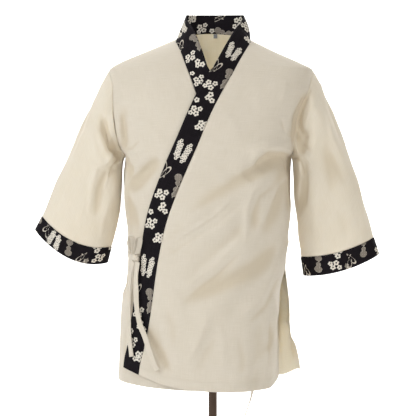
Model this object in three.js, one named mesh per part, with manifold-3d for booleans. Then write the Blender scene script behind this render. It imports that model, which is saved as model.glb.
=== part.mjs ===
// A wrap-front kitchen jacket of cream cotton with a dark printed neck band and cuffs, worn by a limbless
// display torso on a pole. Millimetres, +Z up, the jacket's front faces -Y and +X is the viewer's right.
// "Left" and "right" in the names are the wearer's, so the left front (on top) is on the viewer's right.
import * as THREE from 'three';
import { mergeVertices } from 'three/addons/utils/BufferGeometryUtils.js';
import Module from 'manifold-3d';

// Driving sizes
const clothThickness = 2;
const bandThickness = 2.6; // two layers of cloth
const bandWidth = 44;
const cuffThickness = 2.6;
const seamGap = 0.22; // each side of a seam, so that two panels stand 0.44 mm apart
const hemHeight = 335;
const hemWarpTop = 430; // the hem's rise and fall dies out at this height
const armpitHeight = 811;
const shoulderTipHeight = 988;
const neckHeight = 1049; // where the shoulder seam meets the collar
const backNeckRise = 27; // the back neckline climbs this much above the shoulder seam's end
const centreX = -8; // middle of the jacket's body
const sideY = 5; // depth of the side seams
const boxiness = 0.05; // how much squarer than an ellipse a body ring is
const underDepth = 9; // how far the right front lies below the left front
const underReach = 60; // distance over which it gets there
const underFolds = 0.5; // share of the folds that the hidden right front takes
const bandLiftSeam = 1.6; // the left band's outer face above the body, at its seam
const tieWidth = 12;
const tieThickness = 1.6;
const baseRadius = 150;
const baseThickness = 10;
const poleRadius = 9.5;
const formBottom = 400;

// Body rings from hem to neck, as the x of each side and the y of front and back. The front and back have
// their own width below the side vents.
const bodyRings = [
  { z: 335, leftFront: -197, leftBack: -190, rightFront: 138, rightBack: 184, front: -122, back: 112 },
  { z: 406, leftFront: -195, leftBack: -188, rightFront: 139, rightBack: 176, front: -122, back: 111 },
  { z: 459, leftFront: -193, leftBack: -186, rightFront: 139.5, rightBack: 159, front: -122, back: 110 },
  { z: 519, leftFront: -189, leftBack: -183, rightFront: 140.5, rightBack: 158, front: -121, back: 107 },
  { z: 545, leftFront: -181, leftBack: -181, rightFront: 144, rightBack: 156, front: -120, back: 105 },
  { z: 580, leftFront: -178, leftBack: -178, rightFront: 152.5, rightBack: 152.5, front: -118, back: 102 },
  { z: 633, leftFront: -177, leftBack: -177, rightFront: 157, rightBack: 157, front: -118, back: 101 },
  { z: 717, leftFront: -184, leftBack: -184, rightFront: 163, rightBack: 163, front: -122, back: 105 },
  { z: 770, leftFront: -186, leftBack: -186, rightFront: 163, rightBack: 163, front: -125, back: 109 },
  { z: 811, leftFront: -183, leftBack: -183, rightFront: 166, rightBack: 166, front: -126, back: 111 },
  { z: 812, leftFront: -184.1, leftBack: -184.1, rightFront: 167, rightBack: 167.1, front: -126, back: 111 },
  { z: 815, leftFront: -187, leftBack: -187, rightFront: 168.6, rightBack: 169.2, front: -126, back: 111.3 },
  { z: 819, leftFront: -190.6, leftBack: -190.6, rightFront: 170.3, rightBack: 171.4, front: -126, back: 111.6 },
  { z: 826, leftFront: -196, leftBack: -196, rightFront: 172.3, rightBack: 174.6, front: -125.8, back: 112 },
  { z: 842, leftFront: -205, leftBack: -205, rightFront: 175, rightBack: 180, front: -124, back: 113 },
  { z: 866, leftFront: -214, leftBack: -214, rightFront: 181, rightBack: 187, front: -120, back: 113 },
  { z: 901, leftFront: -221, leftBack: -221, rightFront: 194, rightBack: 198, front: -110, back: 111 },
  { z: 948, leftFront: -221, leftBack: -221, rightFront: 211, rightBack: 211, front: -92, back: 103 },
  { z: 988, leftFront: -217, leftBack: -217, rightFront: 210, rightBack: 210, front: -68, back: 90 },
  { z: 1003, leftFront: -196, leftBack: -196, rightFront: 184, rightBack: 184, front: -58, back: 84 },
  { z: 1028, leftFront: -134, leftBack: -134, rightFront: 126, rightBack: 126, front: -40, back: 74 },
  { z: 1049, leftFront: -77, leftBack: -77, rightFront: 79, rightBack: 79, front: -22, back: 66 },
];

// Half the width that the chest and back have near their middle, where the sides are drawn in under the arms.
const chestRings = [
  { z: 633, left: 169, right: 165 },
  { z: 717, left: 178, right: 173 },
  { z: 770, left: 186, right: 180 },
  { z: 811, left: 195, right: 187 },
  { z: 842, left: 202, right: 192 },
  { z: 866, left: 208, right: 196 },
  { z: 901, left: 213, right: 203 },
];

// The armhole seams, as x at each height on the front and on the back.
const armholes = {
  right: [
    { z: 811, front: -183, back: -183 },
    { z: 812, front: -183.6, back: -183.6 },
    { z: 815, front: -185.6, back: -185.3 },
    { z: 819, front: -188, back: -187.4 },
    { z: 826, front: -192, back: -190.8 },
    { z: 842, front: -198, back: -196 },
    { z: 866, front: -201.5, back: -199 },
    { z: 901, front: -205, back: -202 },
    { z: 948, front: -207, back: -207 },
    { z: 988, front: -217, back: -217 },
  ],
  left: [
    { z: 811, front: 166, back: 166 },
    { z: 812, front: 166.4, back: 166.5 },
    { z: 815, front: 167, back: 167.5 },
    { z: 819, front: 167.6, back: 168.6 },
    { z: 826, front: 168.2, back: 170 },
    { z: 842, front: 168.5, back: 173 },
    { z: 866, front: 170.5, back: 178 },
    { z: 901, front: 179, back: 186 },
    { z: 948, front: 199, back: 199 },
    { z: 988, front: 210, back: 210 },
  ],
};

// The seam between the left front and its band, and its hidden twin on the right front.
const leftBandSeam = [
  { z: 335, x: -150 },
  { z: 369, x: -146.4 },
  { z: 477, x: -127 },
  { z: 584, x: -112 },
  { z: 665, x: -95 },
  { z: 734, x: -70.4 },
  { z: 827, x: -30.5 },
  { z: 898, x: -1 },
  { z: 970, x: 36.7 },
  { z: 1009, x: 56.8 },
  { z: 1049, x: 79 },
];
const rightBandSeam = [
  { z: 335, x: 32 },
  { z: 584, x: 34 },
  { z: 665, x: 32 },
  { z: 740, x: 24 },
  { z: 800, x: 10 },
  { z: 862, x: -9 },
  { z: 927, x: -32 },
  { z: 964, x: -44.3 },
  { z: 998, x: -56.5 },
  { z: 1027, x: -67 },
  { z: 1049, x: -77 },
];

// How far the bands' outer faces stand off the body at their free edges, by the height of the seam.
const bandLifts = {
  left: [
    { z: 335, lift: 4.4 },
    { z: 880, lift: 4.8 },
    { z: 948, lift: 12 },
  ],
  right: [
    { z: 335, lift: 0.4 },
    { z: 900, lift: 0.4 },
    { z: 948, lift: 6 },
  ],
};

// The collar's free edge above the chest, by the height that its seam has reached. The bulge is how far the
// middle of the band curves out between its edges.
const collarFront = {
  right: [
    { seam: 970, x: -9.5, y: -86, z: 983, bulge: 0 },
    { seam: 998, x: -20, y: -70, z: 1017, bulge: 0 },
    { seam: 1027, x: -31, y: -47, z: 1049, bulge: 0 },
    { seam: 1049, x: -44, y: -19, z: 1079, bulge: 1 },
  ],
  left: [
    { seam: 970, x: -3.5, y: -95, z: 977.5, bulge: 0 },
    { seam: 1009, x: 22, y: -65, z: 1027, bulge: 0 },
    { seam: 1030, x: 36, y: -46, z: 1053, bulge: 0 },
    { seam: 1049, x: 51, y: -18, z: 1080, bulge: 3 },
  ],
};

// And round the back of the neck, by the angle in degrees from the shoulder seam.
const collarBack = {
  right: [
    { angle: 18, x: -55, y: 12, z: 1100, bulge: 2 },
    { angle: 42, x: -56, y: 38, z: 1111, bulge: 2 },
    { angle: 68, x: -34, y: 60, z: 1114, bulge: 1.5 },
    { angle: 98, x: 4.4, y: 67, z: 1115, bulge: 1 },
  ],
  left: [
    { angle: 18, x: 67, y: 12, z: 1100, bulge: 5 },
    { angle: 40, x: 66, y: 38, z: 1111, bulge: 4 },
    { angle: 60, x: 40, y: 59, z: 1114, bulge: 2 },
    { angle: 81.2, x: 5.7, y: 67, z: 1115, bulge: 1 },
  ],
};

// How much each hem line lies above (or below) the plain hem height, by x.
const hemLifts = {
  leftFront: [
    { x: -186, lift: 38 },
    { x: -150, lift: 27 },
    { x: -128, lift: 19 },
    { x: -97, lift: 8 },
    { x: -41, lift: -1 },
    { x: 54, lift: -5 },
    { x: 112, lift: -2 },
    { x: 138, lift: 15 },
  ],
  rightFront: [
    { x: -197, lift: 8 },
    { x: -129, lift: 1 },
    { x: -20, lift: -3 },
    { x: 44, lift: -2 },
  ],
  back: [
    { x: -190, lift: 9 },
    { x: -60, lift: 2 },
    { x: 90, lift: 2 },
    { x: 150, lift: 6 },
    { x: 184, lift: 26 },
  ],
};

// The largest folds, as lines seen from the front or from behind. A positive height stands out.
const folds = {
  front: [
    { fromX: 166, fromZ: 798, toX: 100, toZ: 796, width: 22, height: -9 },
    { fromX: 96, fromZ: 792, toX: 68, toZ: 764, width: 18, height: -5 },
    { fromX: 150, fromZ: 838, toX: 70, toZ: 826, width: 18, height: 3 },
    { fromX: 129, fromZ: 756, toX: 40, toZ: 690, width: 17, height: -4 },
    { fromX: 8, fromZ: 690, toX: -82, toZ: 630, width: 15, height: -6 },
    { fromX: 70, fromZ: 790, toX: -60, toZ: 655, width: 22, height: 4 },
    { fromX: 81, fromZ: 682, toX: -46, toZ: 549, width: 20, height: -5 },
    { fromX: 60, fromZ: 620, toX: -70, toZ: 520, width: 22, height: 4 },
    { fromX: 141, fromZ: 620, toX: 40, toZ: 495, width: 20, height: -5 },
    { fromX: -126, fromZ: 455, toX: -92, toZ: 370, width: 13, height: -6 },
    { fromX: -12, fromZ: 482, toX: -46, toZ: 394, width: 16, height: 3 },
    { fromX: 118, fromZ: 500, toX: 114, toZ: 350, width: 13, height: 5 },
    { fromX: 96, fromZ: 460, toX: 84, toZ: 345, width: 13, height: -4 },
    { fromX: -176, fromZ: 900, toX: -186, toZ: 826, width: 15, height: -7 },
    { fromX: -160, fromZ: 745, toX: -112, toZ: 792, width: 16, height: -5 },
    { fromX: 186, fromZ: 925, toX: 168, toZ: 850, width: 13, height: -5 },
  ],
  back: [
    { fromX: -175, fromZ: 830, toX: -80, toZ: 720, width: 20, height: -6 },
    { fromX: 160, fromZ: 828, toX: 75, toZ: 715, width: 21, height: -6 },
    { fromX: -60, fromZ: 700, toX: 30, toZ: 560, width: 22, height: -4 },
    { fromX: 80, fromZ: 640, toX: -20, toZ: 500, width: 24, height: 4 },
    { fromX: -120, fromZ: 600, toX: -130, toZ: 350, width: 20, height: 5 },
    { fromX: 70, fromZ: 520, toX: 84, toZ: 345, width: 18, height: -5 },
    { fromX: 130, fromZ: 500, toX: 140, toZ: 350, width: 16, height: 4 },
  ],
};

// Sleeve rings from armhole to cuff seam, and on to the cuff's edge: the outer fold, the inner seam,
// half the depth, and how far the front of the ring hangs below the line between the two.
const sleeveRings = {
  right: [
    { t: 0, outerX: -217, outerZ: 988, innerX: -183, innerZ: 811, depth: 52, drop: 0 },
    { t: 0.12, outerX: -233, outerZ: 962, innerX: -187.5, innerZ: 800, depth: 56, drop: 0 },
    { t: 0.3, outerX: -257, outerZ: 912, innerX: -189.5, innerZ: 778, depth: 58, drop: 2 },
    { t: 0.5, outerX: -288, outerZ: 843, innerX: -191, innerZ: 745, depth: 54, drop: 6 },
    { t: 0.7, outerX: -317, outerZ: 778, innerX: -194, innerZ: 700, depth: 48, drop: 12 },
    { t: 0.85, outerX: -338, outerZ: 730, innerX: -201, innerZ: 664, depth: 42, drop: 17 },
    { t: 1, outerX: -358.5, outerZ: 683, innerX: -212.5, innerZ: 619, depth: 38, drop: 22 },
    { t: 1.1, outerX: -373.2, outerZ: 654.4, innerX: -221, innerZ: 585, depth: 36, drop: 25 },
  ],
  left: [
    { t: 0, outerX: 210, outerZ: 988, innerX: 166, innerZ: 811, depth: 52, drop: 0 },
    { t: 0.12, outerX: 226, outerZ: 962, innerX: 168, innerZ: 800, depth: 56, drop: 0 },
    { t: 0.3, outerX: 248, outerZ: 907, innerX: 169.5, innerZ: 776, depth: 58, drop: 1 },
    { t: 0.5, outerX: 272, outerZ: 846, innerX: 170.5, innerZ: 742, depth: 54, drop: 3 },
    { t: 0.7, outerX: 299, outerZ: 779, innerX: 174, innerZ: 703, depth: 48, drop: 6 },
    { t: 0.85, outerX: 319, outerZ: 709, innerX: 180, innerZ: 650, depth: 42, drop: 8 },
    { t: 1, outerX: 338.3, outerZ: 639, innerX: 185.6, innerZ: 598, depth: 38, drop: 10 },
    { t: 1.1, outerX: 349.6, outerZ: 603.8, innerX: 191.1, innerZ: 558, depth: 36, drop: 11 },
  ],
};
const sleeveRows = [0, 0.06, 0.12, 0.2, 0.3, 0.42, 0.55, 0.7, 0.85, 1];
const sleeveBlend = 0.55; // share of the sleeve over which the armhole's own shape fades out

// The display torso, as the x of each side and the y of front and back. The jacket rests on its shoulders.
const formRings = [
  { z: 400, left: -126, right: 110, front: -92, back: 84 },
  { z: 412, left: -134, right: 118, front: -99, back: 90 },
  { z: 500, left: -137, right: 121, front: -101, back: 91 },
  { z: 580, left: -146, right: 130, front: -98, back: 84 },
  { z: 633, left: -152, right: 136, front: -97, back: 83 },
  { z: 717, left: -158, right: 142, front: -100, back: 88 },
  { z: 811, left: -162, right: 145, front: -104, back: 94 },
  { z: 866, left: -170, right: 152, front: -99, back: 96 },
  { z: 901, left: -178, right: 160, front: -91, back: 94 },
  { z: 940, left: -186, right: 170, front: -76, back: 87 },
  { z: 968, left: -194, right: 180, front: -60, back: 80 },
  { z: 984, left: -199, right: 186, front: -51, back: 75 },
  { z: 993, left: -199, right: 187.5, front: -45, back: 71 },
  { z: 1000.3, left: -193.8, right: 181.8, front: -41, back: 68 },
  { z: 1012.6, left: -164.6, right: 154, front: -34, back: 62 },
  { z: 1025.3, left: -132.8, right: 124.8, front: -26, back: 56 },
  { z: 1036, left: -105, right: 100, front: -16, back: 48 },
];
const neckScoop = { x: -2, z: 1062, halfWidth: 70, depth: 112, length: 400 };

// Body rows, in height, shared by the front and back panels so that their seams match.
const bodyRows = [
  335, 355, 385, 422, 462, 504, 545, 580, 615, 650, 685, 720, 755, 786, 811, 812, 815, 819, 826, 842, 866, 892, 920,
  948, 970, 980, 986, 988, 1000, 1014, 1028, 1041, 1047,
];
const armholeRows = bodyRows.filter((z) => z >= armpitHeight && z <= shoulderTipHeight);

const clamp01 = (v) => Math.min(1, Math.max(0, v));
const smooth = (v) => clamp01(v) ** 2 * (3 - 2 * clamp01(v));
const mix = (a, b, t) => a + (b - a) * t;
const vec = (x, y, z) => new THREE.Vector3(x, y, z);

// A smooth curve through one column of a table, with no overshoot between its rows.
function columnCurve(rows, key, column) {
  const k = rows.map((r) => r[key]);
  const v = rows.map((r) => r[column]);
  const step = k.slice(1).map((x, i) => (v[i + 1] - v[i]) / (x - k[i]));
  const slope = k.map((_, i) => {
    if (i === 0) return step[0];
    if (i === k.length - 1) return step[i - 1];
    return step[i - 1] * step[i] <= 0 ? 0 : (2 * step[i - 1] * step[i]) / (step[i - 1] + step[i]);
  });
  return (x) => {
    if (x <= k[0]) return v[0];
    if (x >= k[k.length - 1]) return v[k.length - 1];
    const i = k.findIndex((_, n) => x < k[n + 1]);
    const h = k[i + 1] - k[i];
    const t = (x - k[i]) / h;
    return (
      v[i] * (2 * t ** 3 - 3 * t ** 2 + 1) +
      v[i + 1] * (3 * t ** 2 - 2 * t ** 3) +
      slope[i] * h * (t ** 3 - 2 * t ** 2 + t) +
      slope[i + 1] * h * (t ** 3 - t ** 2)
    );
  };
}

const curvesOf = (rows, key, columns) =>
  Object.fromEntries(columns.map((c) => [c, columnCurve(rows, key, c)]));
const body = curvesOf(bodyRings, 'z', ['leftFront', 'leftBack', 'rightFront', 'rightBack', 'front', 'back']);
const chest = curvesOf(chestRings, 'z', ['left', 'right']);
const bandColumns = 3;
const bandLift = {
  left: columnCurve(bandLifts.left, 'z', 'lift'),
  right: columnCurve(bandLifts.right, 'z', 'lift'),
};
const seamX = { left: columnCurve(leftBandSeam, 'z', 'x'), right: columnCurve(rightBandSeam, 'z', 'x') };
const hemLift = {
  leftFront: columnCurve(hemLifts.leftFront, 'x', 'lift'),
  rightFront: columnCurve(hemLifts.rightFront, 'x', 'lift'),
  back: columnCurve(hemLifts.back, 'x', 'lift'),
};

// How far the folds push the cloth out at a point of the front or back.
function foldHeight(x, z, list) {
  let sum = 0;
  for (const f of list) {
    const alongX = f.toX - f.fromX;
    const alongZ = f.toZ - f.fromZ;
    const length = Math.hypot(alongX, alongZ);
    const t = ((x - f.fromX) * alongX + (z - f.fromZ) * alongZ) / length ** 2;
    const away = Math.abs((x - f.fromX) * alongZ - (z - f.fromZ) * alongX) / length;
    const fade = smooth((t + 0.25) / 0.4) * smooth((1.25 - t) / 0.4);
    sum += f.height * fade * Math.exp(-((away / f.width) ** 2));
  }
  return sum;
}

// How far down the right front is, where the left front and its band lie over it: 0 to 1.
function underShare(x, z) {
  const start = seamX.left(z) - bandWidth - 8;
  return smooth((x - start) / underReach);
}

// A point of the body's skin. The angle runs from the left side seam (0) over the front (90 degrees), the
// right side seam (180) and the back (270); lift moves it off the skin; hem names the hem line that it has,
// and under is true for what lies beneath the left front.
function skin(angle, z, lift = 0, hem = null, under = false) {
  const c = Math.cos(angle);
  const s = Math.sin(angle);
  const onFront = s >= 0;
  const side = onFront ? 'Front' : 'Back';
  const sideHalf = c >= 0 ? body['right' + side](z) - centreX : centreX - body['left' + side](z);
  const chestHalf = Math.max(sideHalf, z > 633 && z < 901 ? chest[c >= 0 ? 'right' : 'left'](z) : 0);
  const half = mix(chestHalf, sideHalf, Math.abs(c) ** 6);
  const deep = onFront ? sideY - body.front(z) : body.back(z) - sideY;
  const square = 1 + boxiness * Math.sin(2 * angle) ** 2;
  const x = centreX + half * c * square;
  const y = sideY - deep * s * square;
  const inTorso = 1 - smooth((z - shoulderTipHeight + 30) / 30);
  const nearSide = smooth(Math.abs(s) / 0.25);
  const below = under ? underShare(x, z) : 0;
  const fold = foldHeight(x, z, onFront ? folds.front : folds.back) * inTorso * nearSide;
  const out = lift + fold * mix(1, underFolds, below) - underDepth * below;
  const normal = vec(c / half, -s / deep, 0).normalize();
  const rise = onFront ? 0 : backNeckRise * -s * smooth((z - 930) / (neckHeight - 930));
  const hemShare = 1 - smooth((z - hemHeight) / (hemWarpTop - hemHeight));
  const drop = hem ? hemLift[hem](x) * hemShare : 0;
  return vec(x + normal.x * out, y + normal.y * out, z + rise + drop);
}

// The skin's outward direction.
function skinNormal(angle, z, hem = null) {
  const around = skin(angle + 0.02, z, 0, hem).sub(skin(angle - 0.02, z, 0, hem));
  const up = skin(angle, z + 2, 0, hem).sub(skin(angle, z - 2, 0, hem));
  const n = around.cross(up).normalize();
  const outward = vec(Math.cos(angle), -Math.sin(angle), 0);
  return n.dot(outward) < 0 ? n.negate() : n;
}

// The angle at which the skin reaches an x at a height, on the front or on the back.
function angleAt(x, z, onFront = true, lift = 0) {
  let low = 0;
  let high = Math.PI;
  for (let i = 0; i < 40; i++) {
    const middle = (low + high) / 2;
    const there = skin(onFront ? middle : 2 * Math.PI - middle, z, lift).x;
    if (there > x) low = middle;
    else high = middle;
  }
  return onFront ? (low + high) / 2 : 2 * Math.PI - (low + high) / 2;
}

// Where the armhole's front and back edges run, as a skin angle.
function armholeAngle(side, z, onFront) {
  const x = columnCurve(armholes[side], 'z', onFront ? 'front' : 'back')(z);
  return angleAt(x, z, onFront);
}

// A body panel's side edge: the side seam, then the armhole, then the shoulder seam.
function sideEdge(side, z, onFront) {
  const seam = side === 'left' ? (onFront ? 0 : 2 * Math.PI) : Math.PI;
  if (z <= armpitHeight || z >= shoulderTipHeight) return seam;
  return armholeAngle(side, z, onFront);
}

// The direction out of the armhole's loop at one of its points, which both walls share at that seam.
function armholeNormal(side, point) {
  const bottom = skin(side === 'left' ? 0 : Math.PI, armpitHeight);
  const top = skin(side === 'left' ? 0 : Math.PI, shoulderTipHeight);
  const half = (top.z - bottom.z) / 2;
  const up = (point.z - bottom.z - half) / half;
  const away = point.y - sideY;
  const sideways = (side === 'left' ? 0.5 : -0.5) * smooth(up);
  const across = Math.sqrt(Math.max(0, 1 - up ** 2)) * Math.sign(away || -1);
  return vec(sideways, Math.abs(up) > 0.995 ? 0 : across, up).normalize();
}

// Moves a point that lies on a seam into its own panel by the seam gap.
const shifted = (point, direction, distance) => point.clone().addScaledVector(direction, distance);

// A closed wall from a grid of outer points and the inner points under them.
function wallGeometry(outer, inner, closedAround = false) {
  const rows = outer.length;
  const columns = outer[0].length;
  const position = [];
  for (const grid of [outer, inner]) for (const row of grid) for (const p of row) position.push(p.x, p.y, p.z);
  const outerAt = (r, c) => r * columns + (c % columns);
  const innerAt = (r, c) => rows * columns + outerAt(r, c);
  const faces = [];
  const quad = (a, b, c, d) => faces.push(a, b, c, a, c, d);
  const last = closedAround ? columns : columns - 1;
  for (let r = 0; r < rows - 1; r++) {
    for (let c = 0; c < last; c++) {
      quad(outerAt(r, c), outerAt(r, c + 1), outerAt(r + 1, c + 1), outerAt(r + 1, c));
      quad(innerAt(r, c), innerAt(r + 1, c), innerAt(r + 1, c + 1), innerAt(r, c + 1));
    }
  }
  for (let c = 0; c < last; c++) {
    quad(outerAt(0, c), innerAt(0, c), innerAt(0, c + 1), outerAt(0, c + 1));
    quad(outerAt(rows - 1, c), outerAt(rows - 1, c + 1), innerAt(rows - 1, c + 1), innerAt(rows - 1, c));
  }
  if (!closedAround) {
    for (let r = 0; r < rows - 1; r++) {
      quad(outerAt(r, 0), outerAt(r + 1, 0), innerAt(r + 1, 0), innerAt(r, 0));
      quad(outerAt(r, last), innerAt(r, last), innerAt(r + 1, last), outerAt(r + 1, last));
    }
  }
  return facingOut(position, faces);
}

// A geometry whose faces point out, whichever way its grid ran.
function facingOut(position, faces) {
  let volume = 0;
  const at = (i) => vec(position[3 * i], position[3 * i + 1], position[3 * i + 2]);
  for (let i = 0; i < faces.length; i += 3) {
    volume += at(faces[i]).dot(at(faces[i + 1]).cross(at(faces[i + 2])));
  }
  if (volume < 0) for (let i = 0; i < faces.length; i += 3) [faces[i + 1], faces[i + 2]] = [faces[i + 2], faces[i + 1]];
  const geometry = new THREE.BufferGeometry();
  geometry.setAttribute('position', new THREE.Float32BufferAttribute(position, 3));
  geometry.setIndex(faces);
  return geometry;
}

function material(colour, roughness, metalness = 0) {
  return new THREE.MeshStandardMaterial({ color: colour, roughness, metalness, side: THREE.DoubleSide });
}
const cream = material(0xe2d8c6, 0.85);
const printed = material(0x1f1a1f, 0.8);
const labelGrey = material(0x9a9a9c, 0.7);
const formWhite = material(0xd9d4cb, 0.6);
const chrome = material(0xb9b9bb, 0.18, 1);
const steelBase = material(0xc4c4c6, 0.25, 1);

const jacketOnForm = new THREE.Group();
function addPiece(name, geometry, surface) {
  const mesh = new THREE.Mesh(geometry, surface);
  mesh.name = name;
  jacketOnForm.add(mesh);
}

// The left front stands off the skin along its band, and meets it again further out.
function overLift(x, z) {
  return bandLiftSeam * (1 - smooth((x - seamX.left(z)) / 80));
}

// A front or back panel: rows in height, columns from one edge to the other.
// An edge that curves round an armhole moves only the panel's columns near it.
function bodyPanel({ rows, columns, fromAngle, toAngle, onFront, side, hem, lift, under = false }) {
  const sideLine = (angle) => Math.round(angle / Math.PI) * Math.PI;
  const outer = [];
  const inner = [];
  for (const z of rows) {
    const from = fromAngle(z);
    const to = toAngle(z);
    const outerRow = [];
    const innerRow = [];
    const fromSide = side === 'both' ? sideLine(from) : from;
    for (let c = 0; c <= columns; c++) {
      const share = c / columns;
      const angle =
        mix(fromSide, sideLine(to), share) +
        (from - fromSide) * smooth((0.65 - share) / 0.65) +
        (to - sideLine(to)) * smooth((share - 0.35) / 0.65);
      const x = skin(angle, z).x;
      const point = skin(angle, z, lift(x, z), hem, under);
      let normal = skinNormal(angle, z, hem);
      const edges = side === 'both' ? { 0: 'right', [columns]: 'left' } : { [columns]: side };
      const armSide = edges[c];
      if (armSide) {
        if (z >= armpitHeight && z <= shoulderTipHeight) normal = armholeNormal(armSide, point);
        point.y += onFront ? -seamGap : seamGap;
      }
      outerRow.push(point);
      innerRow.push(shifted(point, normal, -clothThickness));
    }
    outer.push(outerRow);
    inner.push(innerRow);
  }
  return wallGeometry(outer, inner);
}

addPiece(
  'left_front',
  bodyPanel({
    rows: bodyRows,
    columns: 16,
    fromAngle: (z) => angleAt(seamX.left(z), z) - seamGap / 70,
    toAngle: (z) => sideEdge('left', z, true),
    onFront: true,
    side: 'left',
    hem: 'leftFront',
    lift: overLift,
  }),
  cream,
);
addPiece(
  'right_front',
  bodyPanel({
    rows: bodyRows,
    columns: 14,
    fromAngle: (z) => angleAt(seamX.right(z), z) + seamGap / 70,
    toAngle: (z) => sideEdge('right', z, true),
    onFront: true,
    side: 'right',
    hem: 'rightFront',
    lift: () => 0,
    under: true,
  }),
  cream,
);
addPiece(
  'back',
  bodyPanel({
    rows: [...bodyRows, neckHeight - 0.3],
    columns: 22,
    fromAngle: (z) => sideEdge('right', z, false),
    toAngle: (z) => sideEdge('left', z, false),
    onFront: false,
    side: 'both',
    hem: 'back',
    lift: () => 0,
  }),
  cream,
);

// A band station on the chest: steps across the skin from the seam, square to it. It gives the outer
// points and the inner ones under them.
function stationOnSkin(side, seamZ) {
  const isLeft = side === 'left';
  const hem = side + 'Front';
  const seamAngle = (z) => angleAt(seamX[side](z), z);
  const above = skin(seamAngle(seamZ + 6), seamZ + 6);
  const below = skin(seamAngle(seamZ - 6), seamZ - 6);
  const along = above.sub(below).normalize();
  const liftFree = bandLift[side](seamZ);
  const step = (bandWidth - seamGap) / bandColumns;
  const outer = [];
  const inner = [];
  let angle = seamAngle(seamZ);
  let height = seamZ;
  let direction = skinNormal(angle, seamZ).cross(along).normalize();
  if (direction.x * (isLeft ? -1 : 1) < 0) direction.negate();
  for (let c = 0; c <= bandColumns; c++) {
    const share = c / bandColumns;
    const lift = isLeft ? mix(bandLiftSeam, liftFree, share) : liftFree * smooth(share + 0.3);
    const normal = skinNormal(angle, height);
    outer.push(skin(angle, height, lift, hem, !isLeft));
    inner.push(shifted(outer[c], normal, -bandThickness));
    const around = skin(angle + 0.01, height).sub(skin(angle - 0.01, height)).multiplyScalar(50);
    const up = skin(angle, height + 1).sub(skin(angle, height - 1)).multiplyScalar(0.5);
    direction = direction.addScaledVector(normal, -direction.dot(normal)).normalize();
    const aa = around.dot(around);
    const uu = up.dot(up);
    const au = around.dot(up);
    const ad = around.dot(direction);
    const ud = up.dot(direction);
    const det = aa * uu - au * au;
    angle += (step * (ad * uu - ud * au)) / det;
    height += (step * (ud * aa - ad * au)) / det;
  }
  return { outer, inner };
}

// The collar's stations above the chest and round the back of the neck: outer points only.
function collarStations(side) {
  const outwards = side === 'left' ? -1 : 1;
  const edges = [];
  const free = curvesOf(collarFront[side], 'seam', ['x', 'y', 'z', 'bulge']);
  for (const z of bodyRows.filter((row) => row >= 970)) {
    const seam = skin(angleAt(seamX[side](z), z), z, side === 'left' ? bandLiftSeam : 0);
    edges.push({ seam, free: vec(free.x(z), free.y(z), free.z(z)), bulge: free.bulge(z) });
  }
  for (const s of collarBack[side]) {
    const around = (s.angle * Math.PI) / 180;
    const angle = side === 'left' ? 2 * Math.PI - around : Math.PI + around;
    edges.push({ seam: skin(angle, neckHeight), free: vec(s.x, s.y, s.z), bulge: s.bulge });
  }
  return edges.map((edge, i) => {
    const reach = edge.free.clone().sub(edge.seam);
    const start = shifted(edge.seam, reach.clone().normalize(), seamGap + 0.2);
    const next = edges[Math.min(edges.length - 1, i + 1)].seam;
    const along = next.clone().sub(edges[Math.max(0, i - 1)].seam);
    const out = reach.clone().cross(along).normalize().multiplyScalar(outwards);
    return Array.from({ length: bandColumns + 1 }, (_, c) => {
      const share = c / bandColumns;
      return start.clone().lerp(edge.free, share).addScaledVector(out, edge.bulge * 4 * share * (1 - share));
    });
  });
}

// A band: stations across the chest from its lower end up, then round the neck to the centre back.
function bandGeometry(side) {
  const chest = bodyRows.filter((z) => z < 970).map((z) => stationOnSkin(side, z));
  const outer = [...chest.map((s) => s.outer), ...collarStations(side)];
  const last = outer.length - 1;
  const inner = outer.map((line, r) => {
    if (r < chest.length) return chest[r].inner;
    return line.map((p, c) => {
      const across = line[bandColumns].clone().sub(line[0]);
      const along = outer[Math.min(last, r + 1)][c].clone().sub(outer[r - 1][c]);
      const outward = across.cross(along).normalize();
      if (side === 'left') outward.negate();
      return shifted(p, outward, -bandThickness);
    });
  });
  return wallGeometry(outer, inner);
}
for (const side of ['left', 'right']) addPiece(side + '_band', bandGeometry(side), printed);

// A sleeve's or cuff's ring of points. The armhole's own loop fades out along the sleeve.
function sleeveRing(side, t, angles, loop, firstRing) {
  const at = (column) => columnCurve(sleeveRings[side], 't', column)(t);
  const outer = vec(at('outerX'), sideY, at('outerZ'));
  const inner = vec(at('innerX'), sideY, at('innerZ'));
  const middle = outer.clone().add(inner).multiplyScalar(0.5);
  const toOuter = outer.clone().sub(inner).multiplyScalar(0.5);
  const keep = 1 - smooth(t / sleeveBlend);
  return angles.map((a, i) => {
    const front = Math.max(0, Math.sin(a));
    const p = middle.clone().addScaledVector(toOuter, Math.cos(a));
    p.y -= at('depth') * Math.sin(a) * (1 + 0.06 * Math.sin(2 * a) ** 2);
    p.z -= at('drop') * front ** 2;
    if (firstRing) p.addScaledVector(loop[i].clone().sub(firstRing[i]), keep);
    return p;
  });
}

// The sleeve's angle for each height on the armhole: 0 at the shoulder tip, 180 degrees at the armpit.
const ringAngles = (() => {
  const half = (shoulderTipHeight - armpitHeight) / 2;
  const front = [...armholeRows].reverse().map((z) => Math.acos((z - armpitHeight - half) / half));
  const back = front.slice(1, -1).reverse().map((a) => 2 * Math.PI - a);
  return [...front, ...back];
})();

function armholeLoop(side) {
  const front = [...armholeRows].reverse().map((z) => skin(sideEdge(side, z, true), z));
  const back = armholeRows.slice(1, -1).map((z) => skin(sideEdge(side, z, false), z));
  return [...front, ...back];
}

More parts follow.
